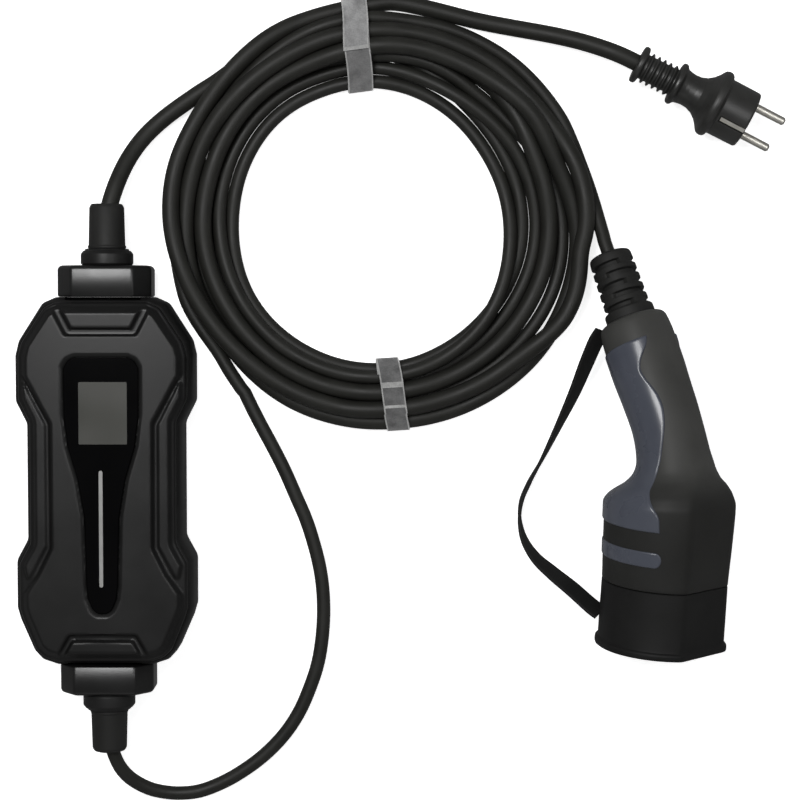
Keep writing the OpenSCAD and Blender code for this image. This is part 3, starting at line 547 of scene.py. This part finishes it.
mains_vis = mains_line[np.argmax(mains_line[:, 1] > 141):]
vehicle_vis = vehicle_line[np.argmax(vehicle_line[:, 1] < -140):]
mains_cord = cord_curve("mains_cord", mains_vis, MAINS_D, "mains", ("mains_cord_box_run", "mains_cord_plug_run", "cord_coil"))
vehicle_cord = cord_curve("vehicle_cord", vehicle_vis, VEH_D, "vehicle", ("vehicle_cord_box_run", "vehicle_cord_connector_run"))


# ------------------------------------------------------------------ straps round the coil
def hull2(p):
    p = sorted(map(tuple, p))

    def half(q):
        h = []
        for c in q:
            while len(h) > 1 and (h[-1][0] - h[-2][0]) * (c[1] - h[-2][1]) - (h[-1][1] - h[-2][1]) * (c[0] - h[-2][0]) <= 0:
                h.pop()
            h.append(c)
        return h[:-1]
    return np.array(half(p) + half(p[::-1]))


def strap(name, ang, width, lean, bow, end_r, start_r, node, mats, creases=()):
    """A band wound round the bundle: from start_r on top, in and under, up the outside and back over itself to end_r.
    mats: its outer layer, the layer under that, and the edges, the frayed end and the creases, whose radii are given."""
    er = np.array([math.cos(rad(ang)), math.sin(rad(ang))])
    et = np.array([-er[1], er[0]])
    disc = circle(1, 28)
    pts = []
    for P, d in ((mains_line, MAINS_D), (vehicle_line, VEH_D)):
        q = P[:, :2] - CC
        r, t = q @ er, q @ et
        ok = (r > 60) & (r < 131) & (np.abs(t) < width / 2 + 3)
        for a, z in zip(r[ok], P[ok][:, 2]):
            pts += (np.array([a, z]) + disc * d / 2).tolist()
    h = hull2(pts)
    h[:, 1] = np.maximum(h[:, 1], 1.35)
    h = hull2(h.tolist())
    # outward offset, then even steps
    h = np.vstack([h, h[:1]])
    h = resample(h, 0.8)[:-1]
    for _ in range(6):
        h = 0.25 * np.roll(h, 1, 0) + 0.5 * h + 0.25 * np.roll(h, -1, 0)
    tan = np.roll(h, -1, 0) - np.roll(h, 1, 0)
    nor = np.stack([tan[:, 1], -tan[:, 0]], 1)
    nor /= np.linalg.norm(nor, axis=1)[:, None]
    if ((h - h.mean(0)) * nor).sum() < 0:
        nor = -nor
    # run inwards over the top first: the hull is anticlockwise in (r, z), so top runs towards smaller r
    n = len(h)
    top = np.where(h[:, 1] > h[:, 1].max() * 0.6)[0]
    i0 = top[np.argmin(np.abs(h[top, 0] - start_r))]
    order = (i0 + np.arange(n + 200)) % n
    i1 = n + np.argmin(np.abs(h[order[n:n + 90], 0] - end_r))
    order = order[:i1 + 1]
    steps = np.arange(len(order))
    up = np.clip((steps - (n - 14)) / 12.0, 0, 1)
    thick = 1.0
    base = 0.62 + up * up * (3 - 2 * up) * (thick + 0.12)
    line = h[order] + nor[order] * base[:, None]
    line = line.copy()
    for _ in range(3):
        line[1:-1] = 0.25 * line[:-2] + 0.5 * line[1:-1] + 0.25 * line[2:]
    tn = np.gradient(line, axis=0)
    tn /= np.linalg.norm(tn, axis=1)[:, None]
    no = np.stack([tn[:, 1], -tn[:, 0]], 1)
    if ((line[:n] - line[:n].mean(0)) * no[:n]).sum() < 0:
        no = -no
    sec = rounded([(-width / 2, -thick / 2), (width / 2, -thick / 2), (width / 2, thick / 2), (-width / 2, thick / 2)], 0.45, 3)
    # a woven edge runs along each side
    edge, full = width / 2 - 0.85, []
    for p0, p1 in zip(sec, np.roll(sec, -1, 0)):
        full.append(p0)
        if abs(p1[0] - p0[0]) > width / 2:
            full += [(math.copysign(edge, p0[0]), p0[1]), (math.copysign(edge, p1[0]), p1[1])]
    sec = np.array([tuple(q) for q in full])
    side = np.abs(0.5 * (sec + np.roll(sec, -1, 0))[:, 0]) > edge - 0.05
    rings = []
    for i in range(len(line)):
        sh = lean * (line[i, 0] - 103.5) / 25 + bow * (1 - ((line[i, 0] - 103.5) / 25) ** 2)
        sh += 0.35 * math.sin(i * 0.11) + (0.5 if i > n - 30 else 0)
        ring = []
        for a, b in sec:
            r = line[i, 0] + no[i, 0] * b
            z = max(line[i, 1] + no[i, 1] * b, 0.02)
            xy = CC + er * r + et * (a + sh)
            ring.append((xy[0], xy[1], z))
        rings.append(ring)
    v, f = loft(rings)
    which = []
    for i in range(len(line) - 1):
        r = 0.5 * (line[i, 0] + line[i + 1, 0])
        worn = i > len(line) - 4 or (no[i, 1] > 0.5 and any(a < r < b for a, b in creases))
        which += [2 if worn or b else 0 if i > n - 30 else 1 for b in side]
    o = add(name, v, f, mats, (node,), sharp=50, which=which + [1, 2])
    return o


strap("coil_strap_a", STRAPS[0], 15.0, -1.6, 0.0, 99, 116, "coil_strap_top", ["strap", "strap_under", "strap_worn"])
strap("coil_strap_b", STRAPS[1], 13.6, 2.8, 0.8, 108, 92, "coil_strap_bottom", ["strap_dark", "strap_dark", "strap_worn"], [(96.6, 100.0), (110.4, 111.9)])


# ------------------------------------------------------------------ control box
def both(h):
    h = np.asarray(h, float)
    return np.vstack([h, h[::-1] * [-1, 1]])


def half_outline(i):
    return [[28 - .4 * i, 108 - i], [36 - .8 * i, 104.5 - .9 * i], [50 - i, 82.5 - .4 * i], [52 - i, 74 - .2 * i], [52 - i, 47 + .5 * i],
        [45.5 - i, 34 + .5 * i], [45.5 - i, -34 - .5 * i], [52 - i, -46 - .5 * i], [52 - i, -74 + .2 * i], [50 - i, -81 + .4 * i],
        [42 - .8 * i, -99.5 + .6 * i], [37 - .7 * i, -105 + .9 * i], [28 - .4 * i, -108 + i]]


def half_window(i):
    return [[15.5, 75 - i], [20.5 - .7 * i, 73 - .7 * i], [23.6 - i, 68 - .4 * i], [23.6 - i, 40], [21.3 - i, 21], [15.7 - i, 2], [12 - i, -20],
        [11 - i, -60], [10.2 - i, -68 + .3 * i], [7.2 - .7 * i, -75 + .8 * i], [3.5 - .3 * i, -78 + i]]


OUT_R = [4, 6, 9, 7, 7, 8, 8, 7, 7, 9, 6, 5, 4]
OUT_R = OUT_R + OUT_R[::-1]


def outline(i):
    return rounded(both(half_outline(i)), OUT_R, 5)


# lower shell: a tray with a rolled rim, screw pockets in its back and an opening at each end
prof = [(30, 3.2), (8, 3.2), (5, 3.4), (3.6, 4.4), (3.2, 6.5), (3.2, 28), (4.0, 28.8), (6.0, 29.2), (6.2, 30), (6.2, 36.7), (5.9, 37.0), (3.2, 37.0),
    (2.6, 36.75), (1.9, 35.8), (1.1, 34), (0.45, 31.6), (0, 28.5), (0, 7), (0.35, 4), (1.1, 1.9), (2.2, 0.55), (3.4, 0.08), (5, 0), (30, 0)]
rings = []
for i, z in prof:
    q = outline(min(i, 8)) if i < 20 else outline(8) * [0.62, 0.88]
    rings.append(np.column_stack([q, np.full(len(q), z)]))
v, f = loft(rings)
lower = add("lower_case", v, f, "black", ("lower_shell",))
tools = []
for x, y in ((36, 86), (-36, 86), (37.4, 2), (-37.4, 2), (36, -86), (-36, -86)):
    t = circle(3.3, 40) + [x, y]
    tools.append(prism(t, -1, 2.9))
for s in (1, -1):
    tools.append(prism([(-22, s * 99), (22, s * 99), (22, s * 110), (-22, s * 110)], 9, 35.4))
cut(lower, tools)
lower.data.polygons.foreach_set("use_smooth", [True] * len(lower.data.polygons))
lower.data.set_sharp_from_angle(angle=rad(32))


# upper shell: heights over a grid that follows the outline
def sd(poly, X, Y):
    """Signed distance to a polygon, negative inside."""
    p = np.asarray(poly, float)
    d = np.full(X.shape, 1e9)
    ins = np.zeros(X.shape, bool)
    for a, b in zip(p, np.roll(p, -1, 0)):
        e = b - a
        L2 = e @ e
        if L2 < 1e-12:
            continue
        t = np.clip(((X - a[0]) * e[0] + (Y - a[1]) * e[1]) / L2, 0, 1)
        d = np.minimum(d, np.hypot(X - a[0] - t * e[0], Y - a[1] - t * e[1]))
        c = (a[1] > Y) != (b[1] > Y)
        if abs(e[1]) > 1e-9:
            ins ^= c & (X < a[0] + (Y - a[1]) * e[0] / e[1])
    return np.where(ins, -d, d)


def mask(poly, X, Y, w, shift=0.0):
    return ss((w / 2 - sd(poly, X, Y) + shift) / w)


edge = outline(3.0)
right = edge[edge[:, 0] > 0]
right = right[np.argsort(right[:, 1])]
y_lo, y_hi = right[0, 1], right[-1, 1]
ny, nx = 276, 126
ys = np.linspace(y_lo, y_hi, ny)
xm = np.interp(ys, right[:, 1], right[:, 0])
us = np.linspace(-1, 1, nx)
X = us[None, :] * xm[:, None]
Y = np.repeat(ys[:, None], nx, 1)
D = np.maximum(-sd(edge, X, Y), 0)
D[0, :] = D[-1, :] = 0
D[:, 0] = D[:, -1] = 0
field = rounded(both([[25, 103.5], [34.5, 100.5], [46.5, 80], [47.4, 68], [29.3, 35], [29, -38], [37, -54], [46.6, -68], [46, -79], [34, -99.5], [25, -103.5]]),
    [3, 5, 7, 5, 7, 7, 7, 5, 7, 5, 3] + [3, 5, 7, 5, 7, 7, 7, 5, 7, 5, 3], 6)
deck = 40.6 + 1.5 * ss((D - 1.6) / 9)
H = deck
for s in (1, -1):
    strip = rounded([[s * 32.6, 34], [s * 46.3, 61], [s * 47.2, 49], [s * 41.4, 36.5], [s * 41.4, -36.5], [s * 46, -46.5], [s * 43.6, -58], [s * 32.6, -37]], 3, 5)
    k = mask(strip, X, Y, 1.8)
    H = H * (1 - k) + (43.9 - 0.02 * np.abs(X)) * k
crown = 45.5 - 0.9 * (np.abs(X) / 47) ** 2.2 - 0.35 * (Y / 104) ** 2
k = mask(field, X, Y, 3.0, 0.4)
H = H * (1 - k) + crown * k
for groove, panel in (([[29.5, 103.5], [20.5, 86], [0, 86]], [[24.5, 103.5], [17.4, 89.8], [0, 89.8]]),
                      ([[0, -88.3], [19.5, -88.6], [28, -103.5]], [[0, -92], [17.6, -92.2], [23.7, -103.5]])):
    g = both(groove)
    q = both(panel)
    k = mask(rounded(g, 2.5, 4), X, Y, 1.9)
    H = H * (1 - k) + 42.6 * k
    k = mask(rounded(q, 2, 4), X, Y, 1.9)
    H = H * (1 - k) + 45.15 * k
win = rounded(both(half_window(0)), 5, 5)
k = mask(win, X, Y, 1.3, -0.35)
H = H * (1 - k) + 44.35 * k
sdw = sd(rounded(both(half_window(1.8)), 5, 5), X, Y)
k = ss((0.3 - sdw) / 0.6)
H = H * (1 - k) + 42.92 * k
# rolled edge
R = 2.0
roll_z = 38.15 + (1 - (1 - np.clip(D / R, 0, 1)) ** 2) ** 0.5 * 2.2 + np.maximum(D - R, 0) * 1.15
w = np.clip(0.5 + 0.5 * (H - roll_z) / 0.5, 0, 1)
H = H * (1 - w) + roll_z * w - 0.5 * w * (1 - w)
low = np.maximum(H - 2.6, 37.86)
low[0, :] = low[-1, :] = 37.86
low[:, 0] = low[:, -1] = 37.86
hole = sd(both(half_window(3.8)), X, Y) < 0
keep = np.ones((ny - 1, nx - 1), bool)
keep[hole[:-1, :-1] & hole[1:, :-1] & hole[:-1, 1:] & hole[1:, 1:]] = False
n = ny * nx
V = np.vstack([np.stack([X, Y, H], -1).reshape(-1, 3), np.stack([X, Y, low], -1).reshape(-1, 3)])
F = []
ids = np.arange(n).reshape(ny, nx)
for i in range(ny - 1):
    for j in range(nx - 1):
        if keep[i, j]:
            a, b, c, d = ids[i, j], ids[i, j + 1], ids[i + 1, j + 1], ids[i + 1, j]
            F.append((a, b, c, d))
            F.append((n + d, n + c, n + b, n + a))
            for p, q, ii, jj in ((a, b, i - 1, j), (b, c, i, j + 1), (c, d, i + 1, j), (d, a, i, j - 1)):
                if not (0 <= ii < ny - 1 and 0 <= jj < nx - 1 and keep[ii, jj]):
                    F.append((q, p, n + p, n + q))
used = np.unique(np.array([k for q in F for k in q]))
back = -np.ones(len(V), int)
back[used] = np.arange(len(used))
add("upper_case", V[used], [tuple(back[list(q)]) for q in F], "satin", ("upper_shell",), sharp=48)

# window lens with the display and the light slit
loops = [rounded(both(half_window(2.1)), 5, 6)]
loops.append(rounded([(-13, 22.8), (15, 22.8), (15, 58.9), (-13, 58.9)], 0.8, 3))
a = np.linspace(0, math.pi, 9)
loops.append(np.vstack([np.stack([-.5 + 1.3 * np.cos(a), 6.5 + 1.3 * np.sin(a)], 1), np.stack([-.5 - 1.3 * np.cos(a), -59.5 - 1.3 * np.sin(a)], 1)]))
inner = rounded(both(half_window(2.5)), 5, 6)
bm = bmesh.new()
vv = []
for lp in [inner] + loops[1:]:
    vs = [bm.verts.new((x, y, 44.5)) for x, y in lp]
    vv.append(vs)
    for i in range(len(vs)):
        bm.edges.new((vs[i], vs[(i + 1) % len(vs)]))
bmesh.ops.triangle_fill(bm, use_beauty=True, use_dissolve=False, edges=bm.edges[:])
bm.verts.index_update()
tri = [[q.index for q in fc.verts] for fc in bm.faces]
pts = np.array([q.co[:] for q in bm.verts])
loop_ids = [[q.index for q in vs] for vs in vv]
bm.free()
# keep only the faces between the loops
cx = np.array([pts[t].mean(0) for t in tri])
ok = (sd(loops[1], cx[:, 0], cx[:, 1]) > 0) & (sd(loops[2], cx[:, 0], cx[:, 1]) > 0)
tri = [t for t, o in zip(tri, ok) if o]
n0 = len(pts)
V = np.vstack([pts, pts - [0, 0, 1.5], np.column_stack([loops[0], np.full(len(loops[0]), 44.15)]), np.column_stack([loops[0], np.full(len(loops[0]), 43.0)])])
F, which = [], []
for t in tri:
    F += [tuple(t), tuple(n0 + i for i in t[::-1])]
    which += [0, 0]
F += [tuple(loop_ids[1]), tuple(n0 + i for i in loop_ids[1][::-1])]
which += [1, 1]
m0 = len(loops[0])
A, B = 2 * n0, 2 * n0 + m0
for i in range(m0):
    j = (i + 1) % m0
    p, q = loop_ids[0][i], loop_ids[0][j]
    F += [(p, q, A + j, A + i), (A + i, A + j, B + j, B + i), (B + i, B + j, n0 + q, n0 + p)]
    which += [0, 0, 0]
for i in range(len(loop_ids[2])):
    j = (i + 1) % len(loop_ids[2])
    p, q = loop_ids[2][i], loop_ids[2][j]
    F.append((q, p, n0 + p, n0 + q))
    which.append(0)
add("window_lens", V, F, ["lens", "lcd"], ("display_window",), which=which, sharp=25)


# end blocks, gland nuts and boots
def block(name, y0, y1, node):
    sec = rounded([(-27.5, 9), (-23.5, 5), (23.5, 5), (27.5, 9), (27.5, 27), (18, 38.5), (-18, 38.5), (-27.5, 27)], [2.5, 2.5, 2.5, 2.5, 4, 3, 3, 4], 5)
    c = np.array([0, 21.75])
    s = 1 if y1 > y0 else -1
    L = abs(y1 - y0)
    rings = []
    for t, i in ((0, 1.0), (0.35, 0.35), (1.0, 0), (L - 2.6, 0), (L - 1.7, 0.25), (L - 0.8, 0.85), (L - 0.2, 1.8), (L, 2.8)):
        q = c + (sec - c) * [(27.5 - i) / 27.5, (16.75 - i) / 16.75]
        rings.append(np.column_stack([q[:, 0], np.full(len(q), y0 + s * t), q[:, 1]]))
    v, f = loft(rings)
    return add(name, v, f, "block", (node,))


block("mains_block", 108.05, 126.5, "mains_end_block")
block("vehicle_block", -108.05, -125.5, "vehicle_end_block")


def turned(name, prof, at, s, mat, node, n=80, ripple=None):
    v, f = lathe(prof, n, ring=True)
    if ripple:
        v = ripple(v)
    v = np.stack([v[:, 0], s * v[:, 2], v[:, 1]], 1) + np.array(at)
    return add(name, v, f, mat, (node,), sharp=40)


def nut_prof(L, bore):
    return rounded([(bore, 0), (14.2, 0), (15.3, 1.0), (15.3, L - 3.0), (13.9, L - 1.2), (13.0, L - 1.0), (12.6, L), (bore, L)], [0.2, 0.4, 0.8, 1.2, 0.6, 0.3, 0.5, 0.2], 4)


def boot_prof(L, bore):
    return rounded([(bore, 0.2), (11.1, 0.2), (11.2, 1.4), (10.7, 2.2), (10.15, L - 2), (9.0, L - 0.1), (bore + 2.5, L), (bore + 0.15, L - 13)],
        [0.1, 0.4, 0.4, 0.8, 2.4, 1.2, 0.8, 4], 5)


turned("mains_nut", nut_prof(9.7, 5.4), (1, 126.5, 22), 1, "nut", "mains_gland_nut")
turned("vehicle_nut", nut_prof(10.3, 4.4), (.5, -125.5, 22), -1, "nut", "vehicle_gland_nut")
turned("mains_sleeve", boot_prof(26.3, 5.4), (1, 136.2, 22), 1, "boot", "mains_boot")
turned("vehicle_sleeve", boot_prof(25, 4.4), (.5, -135.8, 22), -1, "boot", "vehicle_boot")

# ------------------------------------------------------------------ mains plug
RP = rot("z", -27.2) @ rot("x", 31) @ rot("y", 90) @ rot("z", 90)
PLUG = np.array([311.6, 244.6, 20.6])


def on_plug(v):
    return PLUG + np.asarray(v, float) @ RP.T


prof = [(0, 24), (5.35, 24), (5.35, 0.3), (5.9, 0), (9.9, 0), (11.0, 0.5), (11.35, 1.6), (11.2, 2.9), (10.2, 3.7)]
for k in range(5):
    z = 5.2 + 3.75 * k
    prof += [(7.5, z - 0.9), (7.5, z + 0.5), (9.1, z + 1.0), (9.45, z + 1.5), (9.1, z + 2.0)]
prof += [(7.8, 23.4), (8.2, 24.2), (11.4, 24.3), (12.5, 24.9), (12.85, 26.2), (12.5, 27.5), (11.4, 28.2), (10.5, 29.0), (9.9, 31.5), (9.6, 34), (9.9, 37.5), (11.2, 41),
    (13.6, 44.2), (16.4, 46.6), (18.4, 47.9), (19.6, 48.9), (20.25, 50.4), (20.3, 51.7), (19.9, 53.1), (18.9, 54.0), (17.5, 54.4), (17.15, 55.2), (17.0, 71.6), (16.5, 72.7), (15.4, 73),
    (0, 73)]
prof = rounded(prof, 0.5, 2, closed=False)
v, f = lathe(prof, 112)
plug = add("plug_shell", on_plug(v), f, "plug", ("plug_body",), sharp=38)
tools = []
for s in (1, -1):
    q = prism(rounded([(-2, s * 14.6), (2, s * 14.6), (2, s * 19.6), (-2, s * 19.6)], 0.4, 3), 56.2, 74)
    tools.append((on_plug(q[0]), q[1]))
q = prism(circle(2.5, 36) + [0, -10], 60, 75)
tools.append((on_plug(q[0]), q[1]))
cut(plug, tools)
plug.data.polygons.foreach_set("use_smooth", [True] * len(plug.data.polygons))
plug.data.set_sharp_from_angle(angle=rad(38))

# ------------------------------------------------------------------ vehicle connector
ST = [[.4, 36.4, .84], [6, 36.6, .84], [24, 37.3, .84], [46, 37.8, .84], [51, 36, .85], [56, 32, .88], [60.5, 27, .94], [67, 23, 1], [76, 20.8, 1.02],
    [92, 20, 1.02], [110, 20.4, 1.02], [130, 21.1, 1.02], [146, 20.9, 1.02], [154, 20.2, 1.02], [158, 19.4, 1.02]]


def body_r(s):
    return pchip([q[0] for q in ST], [q[1] for q in ST], s)


def body_f(s):
    return pchip([q[0] for q in ST], [q[2] for q in ST], s)


def d_ring(r, fl, n=96, soft=1.0):
    a = np.linspace(0, 2 * math.pi, n, endpoint=False)
    x, z = r * np.cos(a), r * np.sin(a)
    lim = fl * r
    h = np.clip(0.5 + 0.5 * (lim - z) / soft, 0, 1)
    return x, lim * (1 - h) + z * h - soft * h * (1 - h)


rings = []
for s in np.concatenate([np.linspace(150, 60, 10), np.linspace(56, 6, 12), [0.4]]):
    r = float(body_r(s))
    x, z = d_ring(r - (4.6 if r > 30 else 3.8), float(body_f(s)) - 0.02, 96, 1.0)
    rings.append(con(on_line(s, x, z)))
for s, ins in [(0.4, 0.5), (0.7, 0.12), (1.2, 0)] + [(q, 0) for q in np.concatenate([np.linspace(3, 39, 12), np.linspace(41, 66, 26), np.linspace(69, 153, 29)])] + \
        [(155, 0.05), (156.3, 0.35), (157.2, 0.95), (157.8, 1.9), (158.0, 3.2)]:
    x, z = d_ring(float(body_r(s)) - ins, float(body_f(s)), 96, 1.3)
    rings.append(con(on_line(s, x, z)))
v, f = loft(rings)
add("connector_shell", v, f, "body", ("connector_body",), sharp=40)

# gloss insert on the finger side, and the short band of it nearer the head
INS = [[35, 150], [42, 151], [51, 160], [58, 166], [65.5, 167], [77, 160], [85.5, 152], [93, 145], [101.5, 141], [106.5, 142], [112.5, 146.5], [118.5, 152.5],
    [124, 155.5], [128, 152.5], [133.5, 142], [138, 133], [142, 129]]


def plate(s_list, a0_of, proud, edge_w, na=64):
    """Curved plate on the body from angle a0 to its mirror, with a rounded edge, sunk a little into the body."""
    outer, under = [], []
    s0, s1 = s_list[0], s_list[-1]
    for s in s_list:
        r, a0 = float(body_r(s)), float(a0_of(s))
        # denser towards the two long edges
        u = 0.5 - 0.5 * np.cos(np.linspace(0, math.pi, na))
        a = np.radians(a0 + (540 - 2 * a0) * u)
        d = np.minimum(np.minimum((a - a[0]) * r, (a[-1] - a) * r), min(s - s0, s1 - s))
        hgt = -0.25 + (proud + 0.25) * np.sqrt(1 - (1 - np.clip(d / edge_w, 0, 1)) ** 2)
        outer.append(on_line(s, (r + hgt) * np.cos(a), (r + hgt) * np.sin(a)))
        under.append(on_line(s, (r - 0.6) * np.cos(a), (r - 0.6) * np.sin(a)))
    m = len(s_list)
    v = con(np.concatenate(outer + under))
    f = []
    o = m * na
    for i in range(m - 1):
        for k in range(na - 1):
            a, b, c, d = i * na + k, i * na + k + 1, (i + 1) * na + k + 1, (i + 1) * na + k
            f += [(a, b, c, d), (o + d, o + c, o + b, o + a)]
        for k in (0, na - 1):
            a, d = i * na + k, (i + 1) * na + k
            f.append((a, d, o + d, o + a) if k == 0 else (d, a, o + a, o + d))
    for k in range(na - 1):
        for i in (0, m - 1):
            a, b = i * na + k, i * na + k + 1
            f.append((b, a, o + a, o + b) if i == 0 else (a, b, o + b, o + a))
    return v, f


def close_steps(s0, s1, n):
    e = np.array([0, 0.12, 0.3, 0.55, 0.9, 1.3])
    return np.concatenate([s0 + e, np.linspace(s0 + 2, s1 - 2, n), (s1 - e)[::-1]])


v1, f1 = plate(close_steps(35, 142.4, 78), lambda s: pchip([q[0] for q in INS], [q[1] for q in INS], s), 0.9, 1.3, 72)
v2, f2 = plate(close_steps(14.6, 23.6, 6), lambda s: 147 + 6.5 * (1 - math.sqrt(max(1 - ((s - 19.1) / 4.5) ** 2, 0))), 0.6, 1.0, 72)
add("grip_plate", np.vstack([v1, v2]), f1 + [tuple(i + len(v1) for i in q) for q in f2], "insert", ("grip_insert",), sharp=60)

# ribbed boot with slots that stop short of each other
t0 = tilt_at(158)
na = 96
ph = np.linspace(0, 2 * math.pi, na, endpoint=False)
ts = np.concatenate([[0, 0.25, 0.7, 1.4], np.arange(2.0, 40.3, 0.3), [40.5, 40.8, 41.1, 41.35, 41.5]])
rings = []
for t in ts:
    r = np.full(na, float(pchip([0, 0.5, 1.4, 5.6, 6.8, 8, 24, 38, 40.2, 41.0, 41.5], [14.0, 14.5, 14.7, 14.6, 13.7, 13.5, 13.1, 12.7, 12.4, 11.9, 10.9], t)))
    for k in range(5):
        c = 8.4 + 6.35 * k
        g = float(ss((1.75 - abs(t - c)) / 0.6))
        if g > 0:
            # two bridges across each slot, turned a quarter between neighbours
            b = np.abs((ph - rad(100) - k * math.pi / 2 + math.pi / 2) % math.pi - math.pi / 2)
            r = r - g * 2.6 * (0.12 + 0.88 * ss((b - 0.34) / 0.14))
    rings.append(on_line(158, 0 * ph, 0 * ph) + np.stack([r * np.cos(ph), t * math.cos(t0) + r * np.sin(ph) * math.sin(t0), -t * math.sin(t0) + r * np.sin(ph) * math.cos(t0)], 1))
for t, r in ((41.5, 5.2), (40.8, 4.45), (20, 4.4), (0, 4.4)):
    rings.append(on_line(158, 0 * ph, 0 * ph) + np.stack([r * np.cos(ph), t * math.cos(t0) + r * np.sin(ph) * math.sin(t0), -t * math.sin(t0) + r * np.sin(ph) * math.cos(t0)], 1))
v, f = loft(rings, closed=True)
add("connector_relief", con(v), f, "boot", ("connector_boot",), sharp=44)

# dust cap
rings = []
for y, r, fl in ((-34.7, 20, .84), (-34.7, 33.0, .84), (-34.3, 33.8, .84), (-0.6, 33.8, .84), (-0.1, 34.2, .84), (-0.05, 35.9, .84), (-0.5, 36.35, .84), (-1.2, 36.4, .84), (-14, 36.5, .84),
                 (-32.9, 36.6, .84), (-33.9, 36.9, .84), (-34.4, 37.7, .84), (-35, 38.2, .84), (-35.8, 38.3, .84), (-37.3, 38.3, .84), (-38, 38.05, .84), (-38.45, 37.4, .84),
                 (-38.6, 36.4, .84), (-38.6, 20, .84)):
    x, z = d_ring(r, fl, 120, 1.1)
    rings.append(con(np.stack([x, np.full(len(x), y), z], 1)))
v, f = loft(rings)
add("cap_shell", v, f, "cap", ("dust_cap",), body="cap", sharp=40)

# flat rubber tether
TETHER = [[292, 88, 24.5, 33], [288.5, 82.5, 22.2, 35], [283, 69, 18.5, 40], [276.5, 52, 15, 52], [268, 33, 11.5, 68], [258, 12, 8.5, 82], [250, -3, 7, 90], [245.5, -14, 7, 90],
    [244.5, -24, 7.6, 86], [247, -36, 10.5, 74], [253.5, -46.5, 15, 62], [263, -55, 20, 50], [274.5, -64, 26, 42], [286, -73.7, 32.6, 38], [290.2, -76.6, 34.6, 38]]
q = catmull([p[:3] for p in TETHER], 12)
lean = np.interp(np.arange(len(q)), np.arange(len(TETHER)) * 12, [p[3] for p in TETHER])
sec = rounded([(-5.5, -1.1), (5.5, -1.1), (5.5, 1.1), (-5.5, 1.1)], 0.9, 4)
rings = []
for i in range(len(q)):
    t = q[min(i + 1, len(q) - 1)] - q[max(i - 1, 0)]
    t /= np.linalg.norm(t)
    s = np.cross(t, [0, 0, 1])
    s /= np.linalg.norm(s)
    u = np.cross(s, t)
    w = math.cos(rad(lean[i])) * s + math.sin(rad(lean[i])) * u
    h = np.cross(w, t)
    rings.append([q[i] + a * w + b * h for a, b in sec])
v, f = loft(rings)
tether = add("cap_strap", v, f, "cap", ("cap_tether",), ride=False, sharp=40)
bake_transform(tether)
